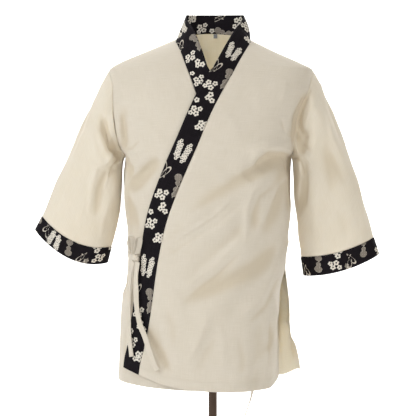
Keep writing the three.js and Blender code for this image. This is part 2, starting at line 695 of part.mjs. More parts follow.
function sleeve(side) {
  const outwards = side === 'left' ? 1 : -1;
  const loop = armholeLoop(side);
  const start = loop.map((p) => p.clone().add(vec(outwards * 0.45, 0, 0)));
  const firstRing = sleeveRing(side, 0, ringAngles);
  const outer = sleeveRows.map((t) => (t === 0 ? start : sleeveRing(side, t, ringAngles, start, firstRing)));
  const inner = tubeInner(outer, clothThickness);
  inner[0] = start.map((p, i) => shifted(p, armholeNormal(side, loop[i]), -clothThickness));
  return wallGeometry(outer, inner, true);
}

// The inner points of a closed tube wall.
function tubeInner(outer, thickness) {
  const rows = outer.length;
  const columns = outer[0].length;
  return outer.map((ring, r) => {
    const middle = ring.reduce((sum, p) => sum.addScaledVector(p, 1 / columns), vec(0, 0, 0));
    return ring.map((p, c) => {
      const around = ring[(c + 1) % columns].clone().sub(ring[(c + columns - 1) % columns]);
      const along = outer[Math.min(rows - 1, r + 1)][c].clone().sub(outer[Math.max(0, r - 1)][c]);
      const normal = around.cross(along).normalize();
      if (normal.dot(p.clone().sub(middle)) < 0) normal.negate();
      return shifted(p, normal, -thickness);
    });
  });
}

function cuff(side) {
  const gapT = 0.0015;
  const outer = [1 + gapT, 1.05, 1.1].map((t) => sleeveRing(side, t, ringAngles));
  return wallGeometry(outer, tubeInner(outer, cuffThickness), true);
}
for (const side of ['left', 'right']) {
  addPiece(side + '_sleeve', sleeve(side), cream);
  addPiece(side + '_cuff', cuff(side), printed);
}

// A flat cloth strip along a list of points, each with the direction that its width takes.
function strip(points, width, thickness) {
  const outer = [];
  const inner = [];
  points.forEach((p, i) => {
    const next = points[Math.min(points.length - 1, i + 1)].at;
    const before = points[Math.max(0, i - 1)].at;
    const along = next.clone().sub(before).normalize();
    const across = p.across.clone().addScaledVector(along, -p.across.dot(along)).normalize();
    const normal = across.clone().cross(along).normalize();
    const edge = [-0.5, 0.5].map((k) => p.at.clone().addScaledVector(across, k * width));
    outer.push(edge.map((q) => shifted(q, normal, thickness / 2)));
    inner.push(edge.map((q) => shifted(q, normal, -thickness / 2)));
  });
  return wallGeometry(outer, inner);
}

// A point at a distance off the front skin, with the way across a strip and the way out from the body there.
function offSkin(angle, z, distance) {
  const across = skin(angle - 0.05, z).sub(skin(angle + 0.05, z)).normalize();
  return { at: skin(angle, z, distance), across, out: skinNormal(angle, z) };
}
const offFront = (x, z, distance) => offSkin(angleAt(x, z, true, distance), z, distance);

// The bow at the wearer's right side: a knot, two loops above it and two tails below.
const knot = { x: -158, z: 600, halfWidth: 10.5, halfDepth: 6, halfHeight: 9, stand: 13 };
const knotAngle = angleAt(knot.x, knot.z, true, knot.stand);
const knotAt = offSkin(knotAngle, knot.z, knot.stand);
const knotTurn = Math.atan2(-knotAt.across.y, knotAt.across.x);
const knotShape = new THREE.SphereGeometry(1, 14, 10);
knotShape.scale(knot.halfWidth, knot.halfDepth, knot.halfHeight);
knotShape.rotateZ(-knotTurn);
knotShape.translate(knotAt.at.x, knotAt.at.y, knotAt.at.z);
knotShape.deleteAttribute('normal');
knotShape.deleteAttribute('uv');
addPiece('tie_knot', mergeVertices(knotShape, 1e-3), cream);

const tails = {
  tie_tail_side: [
    { x: -161.2, z: 591.4, off: 12.4 },
    { x: -168, z: 560, off: 11 },
    { x: -170.5, z: 525, off: 9.5 },
    { x: -171.5, z: 490, off: 9 },
    { x: -171, z: 455, off: 9 },
    { x: -168.5, z: 425, off: 9 },
    { x: -165, z: 398, off: 9 },
  ],
  tie_tail_front: [
    { x: -152.3, z: 590.2, off: 13 },
    { x: -156, z: 560, off: 12 },
    { x: -156, z: 528, off: 12 },
    { x: -154, z: 500, off: 12 },
    { x: -149, z: 470, off: 11 },
    { x: -140, z: 441, off: 9 },
    { x: -130, z: 413, off: 7.5 },
    { x: -121, z: 388, off: 7 },
    { x: -113, z: 372, off: 7 },
  ],
};
for (const [name, path] of Object.entries(tails)) {
  const points = path.map((p) => offFront(p.x, p.z, p.off));
  addPiece(name, strip(points, tieWidth, tieThickness), cream);
}

// A bow loop leaves the top of the knot, rises, turns over and comes back down beside its start: the way
// across, and the share of the rise, at each step.
const loopPath = [
  { across: -1.7, up: 0 },
  { across: -3.4, up: 0.14 },
  { across: -5, up: 0.32 },
  { across: -5.8, up: 0.52 },
  { across: -5.6, up: 0.71 },
  { across: -4.3, up: 0.87 },
  { across: -2, up: 0.97 },
  { across: 0.6, up: 1 },
  { across: 3, up: 0.93 },
  { across: 4.5, up: 0.8 },
  { across: 4.9, up: 0.63 },
  { across: 4.4, up: 0.44 },
  { across: 3.3, up: 0.26 },
  { across: 2.3, up: 0.11 },
  { across: 1.7, up: 0 },
];
function bowLoop({ shift, lean, rise, turn }) {
  const across = knotAt.out.clone().addScaledVector(knotAt.across, turn);
  const points = loopPath.map((p) => {
    const at = knotAt.at.clone().addScaledVector(knotAt.across, shift + lean * p.up + p.across);
    at.z += knot.halfHeight - 0.4 + rise * p.up;
    return { at, across };
  });
  return strip(points, 8, 1.2);
}
addPiece('tie_loop_side', bowLoop({ shift: -6, lean: -7, rise: 34, turn: -0.5 }), cream);
addPiece('tie_loop_front', bowLoop({ shift: 5.5, lean: 8, rise: 32, turn: -0.5 }), cream);

// The ties' roots: one lies round the side from its seam, one leaves the band's free edge, each up to the knot.
const upward = vec(0, 0, 1);
function tieRoot(from, to, count) {
  const points = Array.from({ length: count + 1 }, (_, i) => {
    const t = i / count;
    const spot = offSkin(mix(from.angle, to.angle, t), mix(from.z, to.z, t), mix(from.off, to.off, t ** 3));
    return { at: spot.at, across: upward };
  });
  return strip(points, 9, 1.2);
}
const rootSideEnd = { angle: knotAngle + 0.068, z: 601, off: 12.5 };
const rootFrontEnd = { angle: angleAt(-150.8, 601, true, 7), z: 601, off: 7 };
const freeEdgeAngle = angleAt(-150, 602, true, 3);
addPiece('tie_root_side', tieRoot({ angle: Math.PI - 0.04, z: 604, off: 1.3 }, rootSideEnd, 8), cream);
addPiece('tie_root_front', tieRoot({ angle: freeEdgeAngle, z: 602, off: 3 }, rootFrontEnd, 2), cream);

// The inner tie hangs untied from the right front's edge and ends below the hem.
const innerTiePath = [
  { x: 88, z: 600, turn: 0 },
  { x: 90, z: 540, turn: 0 },
  { x: 90, z: 470, turn: 0 },
  { x: 90, z: 400, turn: 0.2 },
  { x: 88, z: 345, turn: 0.5 },
  { x: 84, z: 318, turn: 0.75 },
  { x: 77, z: 298, turn: 0.9 },
  { x: 71, z: 281, turn: 1 },
];
const innerTieDepth = 8; // below the skin, behind the left front
const innerTie = innerTiePath.map((p) => {
  const height = Math.max(hemHeight, p.z);
  const spot = skin(angleAt(p.x, height), height, -innerTieDepth - 4 * p.turn);
  return { at: vec(spot.x, spot.y, p.z), across: vec(1 - p.turn, p.turn, 0) };
});
addPiece('inner_tie', strip(innerTie, 9, tieThickness), cream);

// A bare size tab sewn under the collar at the centre back.
const label = { x: 6, width: 8, height: 9, thickness: 0.8, gap: 2.9 };
const labelTop = skin(angleAt(label.x, neckHeight - 1, false), neckHeight - 1);
const labelShape = new THREE.BoxGeometry(label.width, label.thickness, label.height);
labelShape.translate(label.x, labelTop.y - label.gap, labelTop.z - label.height / 2 - 1);
addPiece('size_label', labelShape, labelGrey);

// Display torso: rings lofted up to the shoulders, with the neck scooped out between them.
const wasm = await Module();
wasm.setup();

function toSolid(geometry) {
  const bare = geometry.clone();
  bare.deleteAttribute('normal');
  bare.deleteAttribute('uv');
  const merged = mergeVertices(bare, 1e-3);
  return new wasm.Manifold(
    new wasm.Mesh({
      numProp: 3,
      vertProperties: merged.attributes.position.array,
      triVerts: new Uint32Array(merged.index.array),
    }),
  );
}

function toGeometry(solid) {
  const mesh = solid.getMesh();
  const geometry = new THREE.BufferGeometry();
  geometry.setAttribute('position', new THREE.BufferAttribute(new Float32Array(mesh.vertProperties), 3));
  geometry.setIndex(Array.from(mesh.triVerts));
  return geometry;
}

function torsoGeometry() {
  const columns = 36;
  const position = [];
  for (const ring of formRings) {
    for (let c = 0; c < columns; c++) {
      const a = (2 * Math.PI * c) / columns;
      const square = 1 + boxiness * Math.sin(2 * a) ** 2;
      const half = Math.cos(a) >= 0 ? ring.right - centreX : centreX - ring.left;
      const deep = Math.sin(a) >= 0 ? sideY - ring.front : ring.back - sideY;
      position.push(centreX + half * Math.cos(a) * square, sideY - deep * Math.sin(a) * square, ring.z);
    }
  }
  const faces = [];
  const at = (r, c) => r * columns + (c % columns);
  for (let r = 0; r < formRings.length - 1; r++) {
    for (let c = 0; c < columns; c++) {
      faces.push(at(r, c), at(r, c + 1), at(r + 1, c + 1), at(r, c), at(r + 1, c + 1), at(r + 1, c));
    }
  }
  const bottom = position.length / 3;
  position.push(centreX, sideY, formRings[0].z);
  const top = bottom + 1;
  const last = formRings.length - 1;
  position.push(centreX, sideY + 8, formRings[last].z + 4);
  for (let c = 0; c < columns; c++) {
    faces.push(at(0, c), bottom, at(0, c + 1));
    faces.push(at(last, c), at(last, c + 1), top);
  }
  return facingOut(position, faces);
}
const scoopShape = new THREE.CylinderGeometry(1, 1, neckScoop.length, 28);
scoopShape.scale(neckScoop.halfWidth, 1, neckScoop.depth);
scoopShape.translate(neckScoop.x, 0, neckScoop.z);
const torso = toSolid(torsoGeometry()).subtract(toSolid(scoopShape));
addPiece('display_torso', toGeometry(torso), formWhite);

// Pole, the flange that it enters the torso through, and the round base.
function lathe(profile, segments = 40) {
  const shape = new THREE.LatheGeometry(
    profile.map((p) => new THREE.Vector2(p.r, p.z)),
    segments,
  );
  shape.rotateX(Math.PI / 2);
  return shape;
}
const flangeHeight = 12;
const touch = 0.3;
addPiece(
  'torso_flange',
  lathe([
    { r: 0, z: formBottom - touch - flangeHeight },
    { r: 20, z: formBottom - touch - flangeHeight },
    { r: 32, z: formBottom - touch - 5 },
    { r: 34, z: formBottom - touch },
    { r: 0, z: formBottom - touch },
  ]),
  chrome,
);
addPiece(
  'pole',
  lathe([
    { r: 0, z: baseThickness + touch },
    { r: poleRadius, z: baseThickness + touch },
    { r: poleRadius, z: formBottom - flangeHeight - 2 * touch },
    { r: 0, z: formBottom - flangeHeight - 2 * touch },
  ]),
  chrome,
);
addPiece(
  'base_plate',
  lathe(
    [
      { r: 0, z: 0 },
      { r: baseRadius - 1.5, z: 0 },
      { r: baseRadius, z: 1.5 },
      { r: baseRadius, z: 3.5 },
      { r: baseRadius - 4, z: 5 },
      { r: 60, z: 8 },
      { r: 22, z: baseThickness },
      { r: 0, z: baseThickness },
    ],
    56,
  ),
  steelBase,
);

export default jacketOnForm;
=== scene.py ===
import math
import bpy
import bmesh
import numpy as np
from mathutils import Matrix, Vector


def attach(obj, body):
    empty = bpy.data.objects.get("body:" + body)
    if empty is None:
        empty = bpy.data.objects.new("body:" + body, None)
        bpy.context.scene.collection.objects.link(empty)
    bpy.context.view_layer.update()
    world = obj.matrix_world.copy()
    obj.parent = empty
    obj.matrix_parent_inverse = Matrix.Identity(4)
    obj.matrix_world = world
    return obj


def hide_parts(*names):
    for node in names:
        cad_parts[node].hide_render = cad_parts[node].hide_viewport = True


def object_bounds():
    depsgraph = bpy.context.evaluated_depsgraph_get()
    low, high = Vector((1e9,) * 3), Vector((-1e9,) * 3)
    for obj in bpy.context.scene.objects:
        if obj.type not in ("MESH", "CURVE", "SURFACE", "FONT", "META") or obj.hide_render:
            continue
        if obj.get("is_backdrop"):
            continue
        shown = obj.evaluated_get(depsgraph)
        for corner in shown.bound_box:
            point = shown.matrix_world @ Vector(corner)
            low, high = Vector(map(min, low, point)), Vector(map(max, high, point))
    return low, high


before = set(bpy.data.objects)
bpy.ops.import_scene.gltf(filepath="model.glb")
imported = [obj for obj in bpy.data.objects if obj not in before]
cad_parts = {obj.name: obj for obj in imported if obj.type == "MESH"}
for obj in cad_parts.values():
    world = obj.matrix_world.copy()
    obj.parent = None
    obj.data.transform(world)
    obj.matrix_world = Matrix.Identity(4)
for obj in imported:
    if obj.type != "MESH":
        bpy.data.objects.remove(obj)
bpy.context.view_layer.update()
bpy.ops.object.select_all(action="DESELECT")
print("frame loaded:", len(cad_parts), "nodes")

# Camera, level, looking along +Y. Points below are in millimetres, meshes in metres.
camera = {"place": (-9.87, -2600.0, 700.0), "lens": 107.14, "sensor": 36, "farEnd": 60}
cameraData = bpy.data.cameras.new("photoCamera")
cameraData.lens = camera["lens"]
cameraData.sensor_width = camera["sensor"]
cameraData.clip_end = camera["farEnd"]
cameraObject = bpy.data.objects.new("photoCamera", cameraData)
cameraObject.location = [v / 1000 for v in camera["place"]]
cameraObject.rotation_euler = (math.pi / 2, 0, 0)
bpy.context.scene.collection.objects.link(cameraObject)
bpy.context.scene.camera = cameraObject
bpy.context.scene.view_settings.view_transform = "Standard"

# the jacket's measures
jacket = {
    "clothThickness": 1.3, "hemHeight": 335.0, "hemWarpTop": 430.0, "armpitHeight": 811.0,
    "shoulderTipHeight": 988.0, "neckHeight": 1049.0, "neckRiseFrom": 930.0, "backNeckRise": 27.0,
    "centreX": -8.0, "sideY": 5.0, "boxiness": 0.05, "chestLow": 633.0, "chestHigh": 901.0,
    # the right front, where it lies under the left one
    "underDepth": 9.0, "underReach": 60.0, "underFolds": 0.5, "underMargin": 8.0,
    "ventRight": 580.0, "ventLeft": 542.0, "hemStitch": 19.0, "ventStitch": 10.5,
    # how strongly the listed creases show
    "creaseStrength": 1.8,
}
centreX, sideY = jacket["centreX"], jacket["sideY"]
# the folded and printed strips: bands down the fronts with the collar, and cuffs
bands = {
    "width": 44.0, "thickness": 2.6, "edgeRound": 1.5, "columns": 44, "rowStep": 1.15, "chestTop": 969.5,
    "overlap": 1.4, "stand": 0.6, "seamLift": 1.6, "stitchRows": (2.6, 41.2),
    "left": {"flat": (0.046, 0.92), "area": 0.0407, "printShift": 151.0, "unevenness": 0.55},
    "right": {"flat": (0.046, 0.92), "area": 0.0397, "printShift": 60.0, "unevenness": 0.3},
}
bandWidth = bands["width"]

# height: x of the viewer's left side (front, back), x of the viewer's right side (front, back),
# y of front and back
bodyRings = [
    (335, -197, -190, 138, 184, -122, 112), (406, -195, -188, 139, 176, -122, 111),
    (459, -193, -186, 139.5, 159, -122, 110), (519, -189, -183, 140.5, 158, -121, 107),
    (545, -181, -181, 144, 156, -120, 105), (580, -178, -178, 152.5, 152.5, -118, 102),
    (633, -177, -177, 157, 157, -118, 101), (717, -184, -184, 163, 163, -122, 105),
    (770, -186, -186, 163, 163, -125, 109), (811, -183, -183, 166, 166, -126, 111),
    (812, -184.1, -184.1, 167, 167.1, -126, 111), (815, -187, -187, 168.6, 169.2, -126, 111.3),
    (819, -190.6, -190.6, 170.3, 171.4, -126, 111.6), (826, -196, -196, 172.3, 174.6, -125.8, 112),
    (842, -205, -205, 175, 180, -124, 113), (866, -214, -214, 181, 187, -120, 113),
    (901, -221, -221, 194, 198, -110, 111), (948, -221, -221, 211, 211, -92, 103),
    (988, -217, -217, 210, 210, -68, 90), (1003, -196, -196, 184, 184, -58, 84),
    (1028, -134, -134, 126, 126, -40, 74), (1049, -77, -77, 79, 79, -22, 66),
]
chestRings = [(633, 169, 165), (717, 178, 173), (770, 186, 180), (811, 195, 187), (842, 202, 192),
              (866, 208, 196), (901, 213, 203)]
armholes = {
    "right": [(811, -183, -183), (812, -183.6, -183.6), (815, -185.6, -185.3), (819, -188, -187.4),
              (826, -192, -190.8), (842, -198, -196), (866, -201.5, -199), (901, -205, -202),
              (948, -207, -207), (988, -217, -217)],
    "left": [(811, 166, 166), (812, 166.4, 166.5), (815, 167, 167.5), (819, 167.6, 168.6),
             (826, 168.2, 170), (842, 168.5, 173), (866, 170.5, 178), (901, 179, 186),
             (948, 199, 199), (988, 210, 210)],
}
bandSeams = {
    "left": [(335, -150), (369, -146.4), (477, -127), (584, -112), (665, -95), (734, -70.4), (827, -30.5),
             (898, -1), (970, 36.7), (1009, 56.8), (1049, 79)],
    "right": [(335, 32), (584, 34), (665, 32), (740, 24), (800, 10), (862, -9), (927, -32), (964, -44.3),
              (998, -56.5), (1027, -67), (1049, -77)],
}
bandLifts = {"left": [(335, 4.4), (880, 4.8), (948, 12)], "right": [(335, 0.4), (900, 0.4), (948, 6)]}
collarFront = {  # height of the seam: free edge x, y, z, bulge
    "right": [(970, -9.5, -86, 983, 0), (998, -20, -70, 1017, 0), (1027, -31, -47, 1049, 0),
              (1049, -44, -19, 1079, 1)],
    "left": [(970, -3.5, -95, 977.5, 0), (1009, 22, -65, 1027, 0), (1030, 36, -46, 1053, 0),
             (1049, 51, -18, 1080, 3)],
}
collarBack = {  # degrees round the neck from the side: free edge x, y, z, bulge
    "right": [(18, -55, 12, 1100, 2), (42, -56, 38, 1111, 2), (68, -34, 60, 1114, 1.5),
              (98.4, 5.04, 67, 1115, 1)],
    "left": [(18, 67, 12, 1100, 5), (40, 66, 38, 1111, 4), (60, 40, 59, 1114, 2), (81.6, 5.06, 67, 1115, 1)],
}
hemLifts = {
    "leftFront": [(-186, 38), (-150, 27), (-128, 19), (-97, 8), (-41, -1), (54, -5), (112, -2), (138, 15)],
    "rightFront": [(-197, 8), (-129, 1), (-20, -3), (44, -2)],
    "back": [(-190, 9), (-60, 2), (90, 2), (150, 6), (184, 26)],
}
# the largest folds: from x, z to x, z, width, height
folds = {
    "front": [
        (166, 798, 100, 796, 22, -9), (96, 792, 68, 764, 18, -5), (150, 838, 70, 826, 18, 3),
        (129, 756, 40, 690, 17, -4), (8, 690, -82, 630, 15, -6), (70, 790, -60, 655, 22, 4),
        (81, 682, -46, 549, 20, -5), (60, 620, -70, 520, 22, 4), (141, 620, 40, 495, 20, -5),
        (-126, 455, -92, 370, 13, -6), (-12, 482, -46, 394, 16, 3), (118, 500, 114, 350, 13, 5),
        (96, 460, 84, 345, 13, -4), (-176, 900, -186, 826, 15, -7), (-160, 745, -112, 792, 16, -5),
        (186, 925, 168, 850, 13, -5)],
    "back": [
        (-175, 830, -80, 720, 20, -6), (160, 828, 75, 715, 21, -6), (-60, 700, 30, 560, 22, -4),
        (80, 640, -20, 500, 24, 4), (-120, 600, -130, 350, 20, 5), (70, 520, 84, 345, 18, -5),
        (130, 500, 140, 350, 16, 4)],
}
# share of the sleeve: outer fold x, z, inner seam x, z, half depth, droop of the front
sleeveRings = {
    "right": [
        (0, -217, 988, -183, 811, 52, 0), (0.12, -233, 962, -187.5, 800, 56, 0),
        (0.3, -257, 912, -189.5, 778, 58, 2), (0.5, -288, 843, -191, 745, 54, 6),
        (0.7, -317, 778, -194, 700, 48, 12), (0.85, -338, 730, -201, 664, 42, 17),
        (1, -358.5, 683, -212.5, 619, 38, 22), (1.1, -373.2, 654.4, -221, 585, 36, 25)],
    "left": [
        (0, 210, 988, 166, 811, 52, 0), (0.12, 226, 962, 168, 800, 56, 0),
        (0.3, 248, 907, 169.5, 776, 58, 1), (0.5, 272, 846, 170.5, 742, 54, 3),
        (0.7, 299, 779, 174, 703, 48, 6), (0.85, 319, 709, 180, 650, 42, 8),
        (1, 338.3, 639, 185.6, 598, 38, 10), (1.1, 349.6, 603.8, 191.1, 558, 36, 11)],
}
# share of the sleeve over which the armhole's own shape fades out
sleeveBlend = 0.55


def smooth(v):
    v = np.clip(v, 0.0, 1.0)
    return v * v * (3 - 2 * v)


def mix(a, b, t):
    return a + (b - a) * t


def curveThrough(keys, values):
    # a smooth curve with no overshoot between its points
    k = np.asarray(keys, float)
    v = np.asarray(values, float)
    step = np.diff(v) / np.diff(k)
    slope = np.empty(len(k))
    slope[0], slope[-1] = step[0], step[-1]
    for i in range(1, len(k) - 1):
        a, b = step[i - 1], step[i]
        slope[i] = 0 if a * b <= 0 else 2 * a * b / (a + b)

    def at(x):
        x = np.clip(np.asarray(x, float), k[0], k[-1])
        i = np.clip(np.searchsorted(k, x, side="right") - 1, 0, len(k) - 2)
        h = k[i + 1] - k[i]
        t = (x - k[i]) / h
        return (v[i] * (2 * t**3 - 3 * t**2 + 1) + v[i + 1] * (3 * t**2 - 2 * t**3)
                + slope[i] * h * (t**3 - 2 * t**2 + t) + slope[i + 1] * h * (t**3 - t**2))

    return at


def curvesOf(table, names):
    keys = [row[0] for row in table]
    return {name: curveThrough(keys, [row[i + 1] for row in table]) for i, name in enumerate(names)}


body = curvesOf(bodyRings, ["leftFront", "leftBack", "rightFront", "rightBack", "front", "back"])
chest = curvesOf(chestRings, ["left", "right"])
armhole = {side: curvesOf(armholes[side], ["front", "back"]) for side in armholes}
seamX = {side: curvesOf(bandSeams[side], ["x"])["x"] for side in bandSeams}
bandLift = {side: curvesOf(bandLifts[side], ["lift"])["lift"] for side in bandLifts}
hemLift = {name: curvesOf(hemLifts[name], ["lift"])["lift"] for name in hemLifts}


def foldHeight(x, z, table):
    total = np.zeros(np.broadcast(x, z).shape)
    for x0, z0, x1, z1, width, height in table:
        dx, dz = x1 - x0, z1 - z0
        length = math.hypot(dx, dz)
        t = ((x - x0) * dx + (z - z0) * dz) / length**2
        away = np.abs((x - x0) * dz - (z - z0) * dx) / length
        total += height * smooth((t + 0.25) / 0.4) * smooth((1.25 - t) / 0.4) * np.exp(-((away / width) ** 2))
    return total


def underShare(x, z):
    # 1 where the right front lies under the left one, 0 well clear of it
    return smooth((x - seamX["left"](z) + bandWidth + jacket["underMargin"]) / jacket["underReach"])


def skin(angle, z, lift=0.0, hem=None, under=False):
    # angle 0 is the wearer's left side, 90 degrees the front, 180 the right side, 270 the back
    angle, z = np.broadcast_arrays(np.asarray(angle, float), np.asarray(z, float))
    c, s = np.cos(angle), np.sin(angle)
    onFront = s >= 0
    rightHalf = np.where(onFront, body["rightFront"](z), body["rightBack"](z)) - centreX
    leftHalf = centreX - np.where(onFront, body["leftFront"](z), body["leftBack"](z))
    sideHalf = np.where(c >= 0, rightHalf, leftHalf)
    inChest = (z > jacket["chestLow"]) & (z < jacket["chestHigh"])
    chestWide = np.where(inChest, np.where(c >= 0, chest["right"](z), chest["left"](z)), 0)
    half = mix(np.maximum(sideHalf, chestWide), sideHalf, np.abs(c) ** 6)
    deep = np.where(onFront, sideY - body["front"](z), body["back"](z) - sideY)
    square = 1 + jacket["boxiness"] * np.sin(2 * angle) ** 2
    x = centreX + half * c * square
    y = sideY - deep * s * square
    inTorso = 1 - smooth((z - jacket["shoulderTipHeight"] + 30) / 30)
    nearSide = smooth(np.abs(s) / 0.25)
    below = underShare(x, z) if under else 0.0
    fold = np.where(onFront, foldHeight(x, z, folds["front"]), foldHeight(x, z, folds["back"]))
    fold = fold * inTorso * nearSide
    out = lift + fold * mix(1, jacket["underFolds"], below) - jacket["underDepth"] * below
    nx, ny = c / half, -s / deep
    size = np.hypot(nx, ny)
    neckShare = smooth((z - jacket["neckRiseFrom"]) / (jacket["neckHeight"] - jacket["neckRiseFrom"]))
    rise = np.where(onFront, 0, jacket["backNeckRise"] * -s * neckShare)
    hemShare = 1 - smooth((z - jacket["hemHeight"]) / (jacket["hemWarpTop"] - jacket["hemHeight"]))
    drop = hemLift[hem](x) * hemShare if hem else 0.0
    return np.stack([x + nx / size * out, y + ny / size * out, z + rise + drop], axis=-1)


def unit(v):
    return v / np.maximum(np.linalg.norm(v, axis=-1, keepdims=True), 1e-9)


def skinNormal(angle, z, hem=None):
    around = skin(angle + 0.02, z, 0, hem) - skin(angle - 0.02, z, 0, hem)
    up = skin(angle, z + 2, 0, hem) - skin(angle, z - 2, 0, hem)
    n = unit(np.cross(around, up))
    outward = np.stack([np.cos(angle), -np.sin(angle), np.zeros_like(angle * 1.0)], axis=-1)
    return np.where((n * outward).sum(-1, keepdims=True) < 0, -n, n)


def angleAt(x, z, onFront=True, lift=0.0):
    x, z = np.broadcast_arrays(np.asarray(x, float), np.asarray(z, float))
    low, high = np.zeros(x.shape), np.full(x.shape, math.pi)
    for _ in range(34):
        middle = (low + high) / 2
        there = skin(middle if onFront else 2 * math.pi - middle, z, lift)[..., 0]
        low = np.where(there > x, middle, low)
        high = np.where(there > x, high, middle)
    middle = (low + high) / 2
    return middle if onFront else 2 * math.pi - middle


def sideEdge(side, z, onFront):
    # side seam, then armhole, then shoulder seam
    seam = (0.0 if onFront else 2 * math.pi) if side == "left" else math.pi
    z = np.asarray(z, float)
    inside = (z > jacket["armpitHeight"]) & (z < jacket["shoulderTipHeight"])
    x = armhole[side]["front" if onFront else "back"](z)
    return np.where(inside, angleAt(x, z, onFront), seam)


def distanceToPath(x, z, path):
    # distance to a drawn path, share of the way along it, and which side of it the point is on
    lengths = [math.hypot(b[0] - a[0], b[1] - a[1]) for a, b in zip(path[:-1], path[1:])]
    total = sum(lengths)
    best = np.full(np.broadcast(x, z).shape, 1e9)
    share = np.zeros(best.shape)
    side = np.zeros(best.shape)
    before = 0.0
    for (x0, z0), (x1, z1), length in zip(path[:-1], path[1:], lengths):
        dx, dz = x1 - x0, z1 - z0
        t = np.clip(((x - x0) * dx + (z - z0) * dz) / length**2, 0, 1)
        ax, az = x - x0 - t * dx, z - z0 - t * dz
        d = np.hypot(ax, az)
        nearer = d < best
        best = np.where(nearer, d, best)
        share = np.where(nearer, (before + t * length) / total, share)
        side = np.where(nearer, np.sign(ax * dz - az * dx), side)
        before += length
    return best, share, side


def creaseHeight(x, z, table):
    # each crease: its path, width, height, and how far it leans to one side
    total = np.zeros(np.broadcast(x, z).shape)
    for path, width, height, lean in table:
        d, share, side = distanceToPath(x, z, path)
        taper = np.sqrt(np.clip(1.05 - (2 * share - 1) ** 2, 0, 1)) ** 1.3
        w = width * (0.55 + 0.45 * taper) * (1 + lean * side)
        core = 0.72 * np.exp(-((d / w) ** 2))
        skirts = 0.28 / (1 + (d / (0.45 * w)) ** 2) * np.exp(-((d / (3 * w)) ** 2))
        total += jacket["creaseStrength"] * height * taper * (core + skirts)
    return total


def ripples(x, z, waves):
    # soft uneven waves: wavelength, direction in degrees, height, phase, bend
    total = np.zeros(np.broadcast(x, z).shape)
    for length, direction, height, phase, bend in waves:
        a = math.radians(direction)
        along = x * math.cos(a) + z * math.sin(a)
        cross = -x * math.sin(a) + z * math.cos(a)
        swell = 0.55 + 0.45 * np.sin(cross / (1.7 * length) + 2.1 * phase)
        bent = bend * np.sin(cross / (1.3 * length) + phase)
        total += height * swell * np.sin(2 * math.pi * along / length + phase + bent)
    return total
